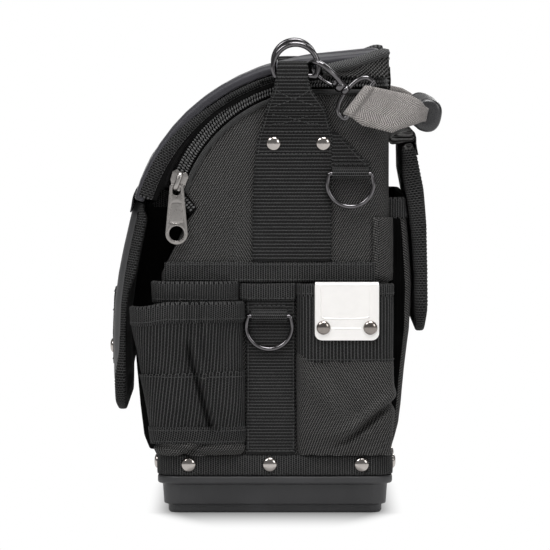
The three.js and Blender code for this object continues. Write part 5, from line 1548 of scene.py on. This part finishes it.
def strap(side):
    """The grey strap, from its loop round the eye's bar to the grip's end, as (along, inward) points."""
    end = TOP_RING[0] - (GRIP_HALF - 7 + SEAT)
    outer = [(s, -1.3) for s in span(2.5, 34, 12)] + list(arc(36, 10, 11.4, span(-90, 0, 9)[1:]))
    outer += [(47.4, q) for q in span(14, end, 5)]
    inner = [(44.9, q) for q in span(end, 14, 5)] + list(arc(36, 10, 8.9, span(0, -90, 8)[:-1]))
    inner += [(s, 1.25) for s in span(34, 9, 8)]
    line = resample(spline(inner + list(arc(0, 0, 3.05, span(60, 300, 14))) + outer, 3), 1.1)
    path = np.array([EYE_BAR + ALONG_STRAP * s + vec(-q, 0, 0) for s, q in line])
    out = np.array([ALONG_STRAP * -b + vec(-a, 0, 0) for a, b in unit(np.gradient(line, axis=0))])
    path = path + vec(*RIGHT) * (0.35 * wobble(path, 12.0, 6.0))[:, None]
    v, faces, coords = sweep(path, ACROSS_STRAP, out, 2 * STRAP_HALF, 2.3, crown=0.15)
    away = v - EYE_BAR
    s, w = away @ ALONG_STRAP, away @ ACROSS_STRAP
    v = v + ALONG_STRAP * (w * math.tan(HOOK - SLOPE) * np.clip((24 - s) / 18, 0, 1))[:, None]
    # The lower edge sags, and the far end is gathered in as it turns towards the grip.
    upper = np.interp(s, [0, 34, 41.5, 46, 49], [11.6, 11.6, 9.3, 5.8, 5.0])
    lower = np.interp(s, [-2, 3, 10, 27, 31, 40, 46, 49], [11.6, 12.6, 16.4, 16.8, 13.6, 8.6, 4.8, 4.4])
    v = v + ACROSS_STRAP * (w * (np.where(w > 0, upper, lower) / STRAP_HALF - 1))[:, None]
    bulge = 2.4 * bump(s, 33, 9) * (1 - np.clip(np.abs(w) / 14, 0, 1) ** 2)
    crease = -1.3 * bump(s - 0.45 * w, 21.5, 1.6) * step(-w, -9, 2)
    v[:, 0] += np.where(away[:, 0] > 0, bulge + crease, 0.0)
    put(f"strap{side}", (v, faces, coords), STRAP, "handle", "grey_strap", f"handle_webbing{side}")


def power(values, exponent):
    return np.sign(values) * np.abs(values) ** exponent


def grip():
    """A rubber grip with a collar at each end, as (share of its half length, share of its radius)."""
    middle = EYE_BAR + ALONG_STRAP * 47.5
    stations = [(-1.0, 0.55), (-1.0, 0.8), (-0.994, 0.92), (-0.985, 0.985), (-0.97, 1.01), (-0.915, 1.01)]
    stations += [(-0.905, 0.985), (-0.9, 0.945), (-0.885, 0.935)]
    stations += [(k, 1.04 - 0.1 * abs(k) ** 2.2) for k in span(-0.86, 0.86, 25)]
    stations += [(-k, r) for k, r in stations[8::-1]]
    t = span(0, 2 * math.pi, 48, endpoint=False)
    levels = []
    for k, r in stations:
        a = 1.6 + 9.6 * r * power(np.cos(t), 2 / 2.4)
        b = 11.6 * r * power(np.sin(t), 2 / 2.4)
        p = vec(0, *middle[1:]) + a[:, None] * ALONG_STRAP + b[:, None] * ACROSS_STRAP
        p[:, 0] = k * GRIP_HALF
        levels.append(p)
    put("grip_rubber_body", loop_loft(levels), RUBBER, "handle", "grip_rubber", "handle_grip")


SLIDER_ANGLE = math.radians(160.2)
SLIDER_OUT = vec(0, math.cos(SLIDER_ANGLE), math.sin(SLIDER_ANGLE))
SLIDER_DOWN = np.cross(RIGHT, SLIDER_OUT)
SLIDER = vec(0, ZIP_Y, ZIP_Z) + SLIDER_OUT * ZIP_R
SLIDER_X = HALF_WIDTH - WALL / 2 + 1.9 + SEAT
SLIDER_OUTLINE = [(-5.9, -4.6), (-3.6, -7.2), (0, -5.4), (3.6, -7.2), (5.9, -4.6), (5.6, 1.0)]
SLIDER_OUTLINE += [(3.7, 4.2), (3.5, 7.0), (-3.5, 7.0), (-3.7, 4.2), (-5.6, 1.0)]
BRIDGE = [(-5.6, SLIDER_X + 1.0), (-5.0, 122.6), (-3.0, 123.9), (0.5, 124.3), (3.8, 124.0)]
BRIDGE += [(5.6, 122.9), (6.2, 121.2), (5.9, SLIDER_X + 0.9)]
PULL_X, PULL_FOOT, PULL_R, HOLE_R = 122.05, 0.7 - 42, 7.75, 5.2


def slider(side):
    def on(a, b, x):
        return SLIDER + SLIDER_OUT * a + SLIDER_DOWN * b + vec(x, 0, 0)

    def plate_at(a, b, c):
        return on(a, b, SLIDER_X + 0.75 + c)

    body = f"zip_slider{side}"
    plate = cut_plate([rounded(SLIDER_OUTLINE, 0.9)], 1.5, 0.35, plate_at)
    crisp(put(f"slider_plate{side}", plate, SILVER, body, "nickel", body))
    path = np.array([on(0, b, x) for b, x in spline(BRIDGE, 5)])
    out = np.cross(SLIDER_OUT, unit(np.gradient(path, axis=0)))
    if out[len(out) // 2][0] < 0:
        out = -out
    heap = Heap(sweep(path, SLIDER_OUT, out, 3.7, 1.5, crown=0.5))
    heap.add(tube([on(-5.6, -3.5, SLIDER_X - 0.6), on(-5.6, 3.0, SLIDER_X - 0.6)], 0.7, 10))
    heap.add(tube([on(-5.6, -3.5, SLIDER_X - 0.3), on(-5.6, -3.5, SLIDER_X + 0.8)], 0.6, 8))
    put(f"slider_bridge{side}", heap, SILVER, body, "nickel")
    top = SLIDER + SLIDER_DOWN * 3.5

    def pull(a, b, c):
        return vec(PULL_X + c, top[1] + a, top[2] + b)

    def field_at(a, b, c):
        return pull(a, b, c - 0.1)

    middle = PULL_FOOT + PULL_R
    head = [(4.9, -0.5), (3.8, 0.7), (-3.8, 0.7), (-4.9, -0.5)]
    outline = list(arc(0, middle, PULL_R, span(180, 360, 24))) + head
    slot = rounded([(2.8, -0.7), (-2.8, -0.7), (-2.8, -6.1), (0, -7.4), (2.8, -6.1)], 1.6)
    hole = arc(0, middle, HOLE_R, span(0, 360, 28, endpoint=False))
    window = rounded([(3.6, -12.2), (-3.6, -12.2), (-4.9, -25.6), (0, -26.6), (4.9, -25.6)], 1.2)
    body = f"zip_pull{side}"
    plate = cut_plate([outline, slot, hole, window], 1.5, 0.4, pull)
    crisp(put(f"pull_plate{side}", plate, SILVER, body, "nickel", body))
    field = cut_plate([[(a * 1.06, b) for a, b in window]], 0.8, 0.1, field_at)
    crisp(put(f"pull_field{side}", field, SILVER, body, "nickel"))


SIDE_PARTS = (upright, centre_strip, ring_tab, waist, front_pockets, rear_side_pocket, corner_strip)
SIDE_PARTS += (lid_binding, lid_corner, rings, hooks, strap, slider)
for side in SIDES:
    for part in SIDE_PARTS:
        part(side)
wall_pockets()
lid_panel()
flaps()
hinges()
tape_clip()
grip()
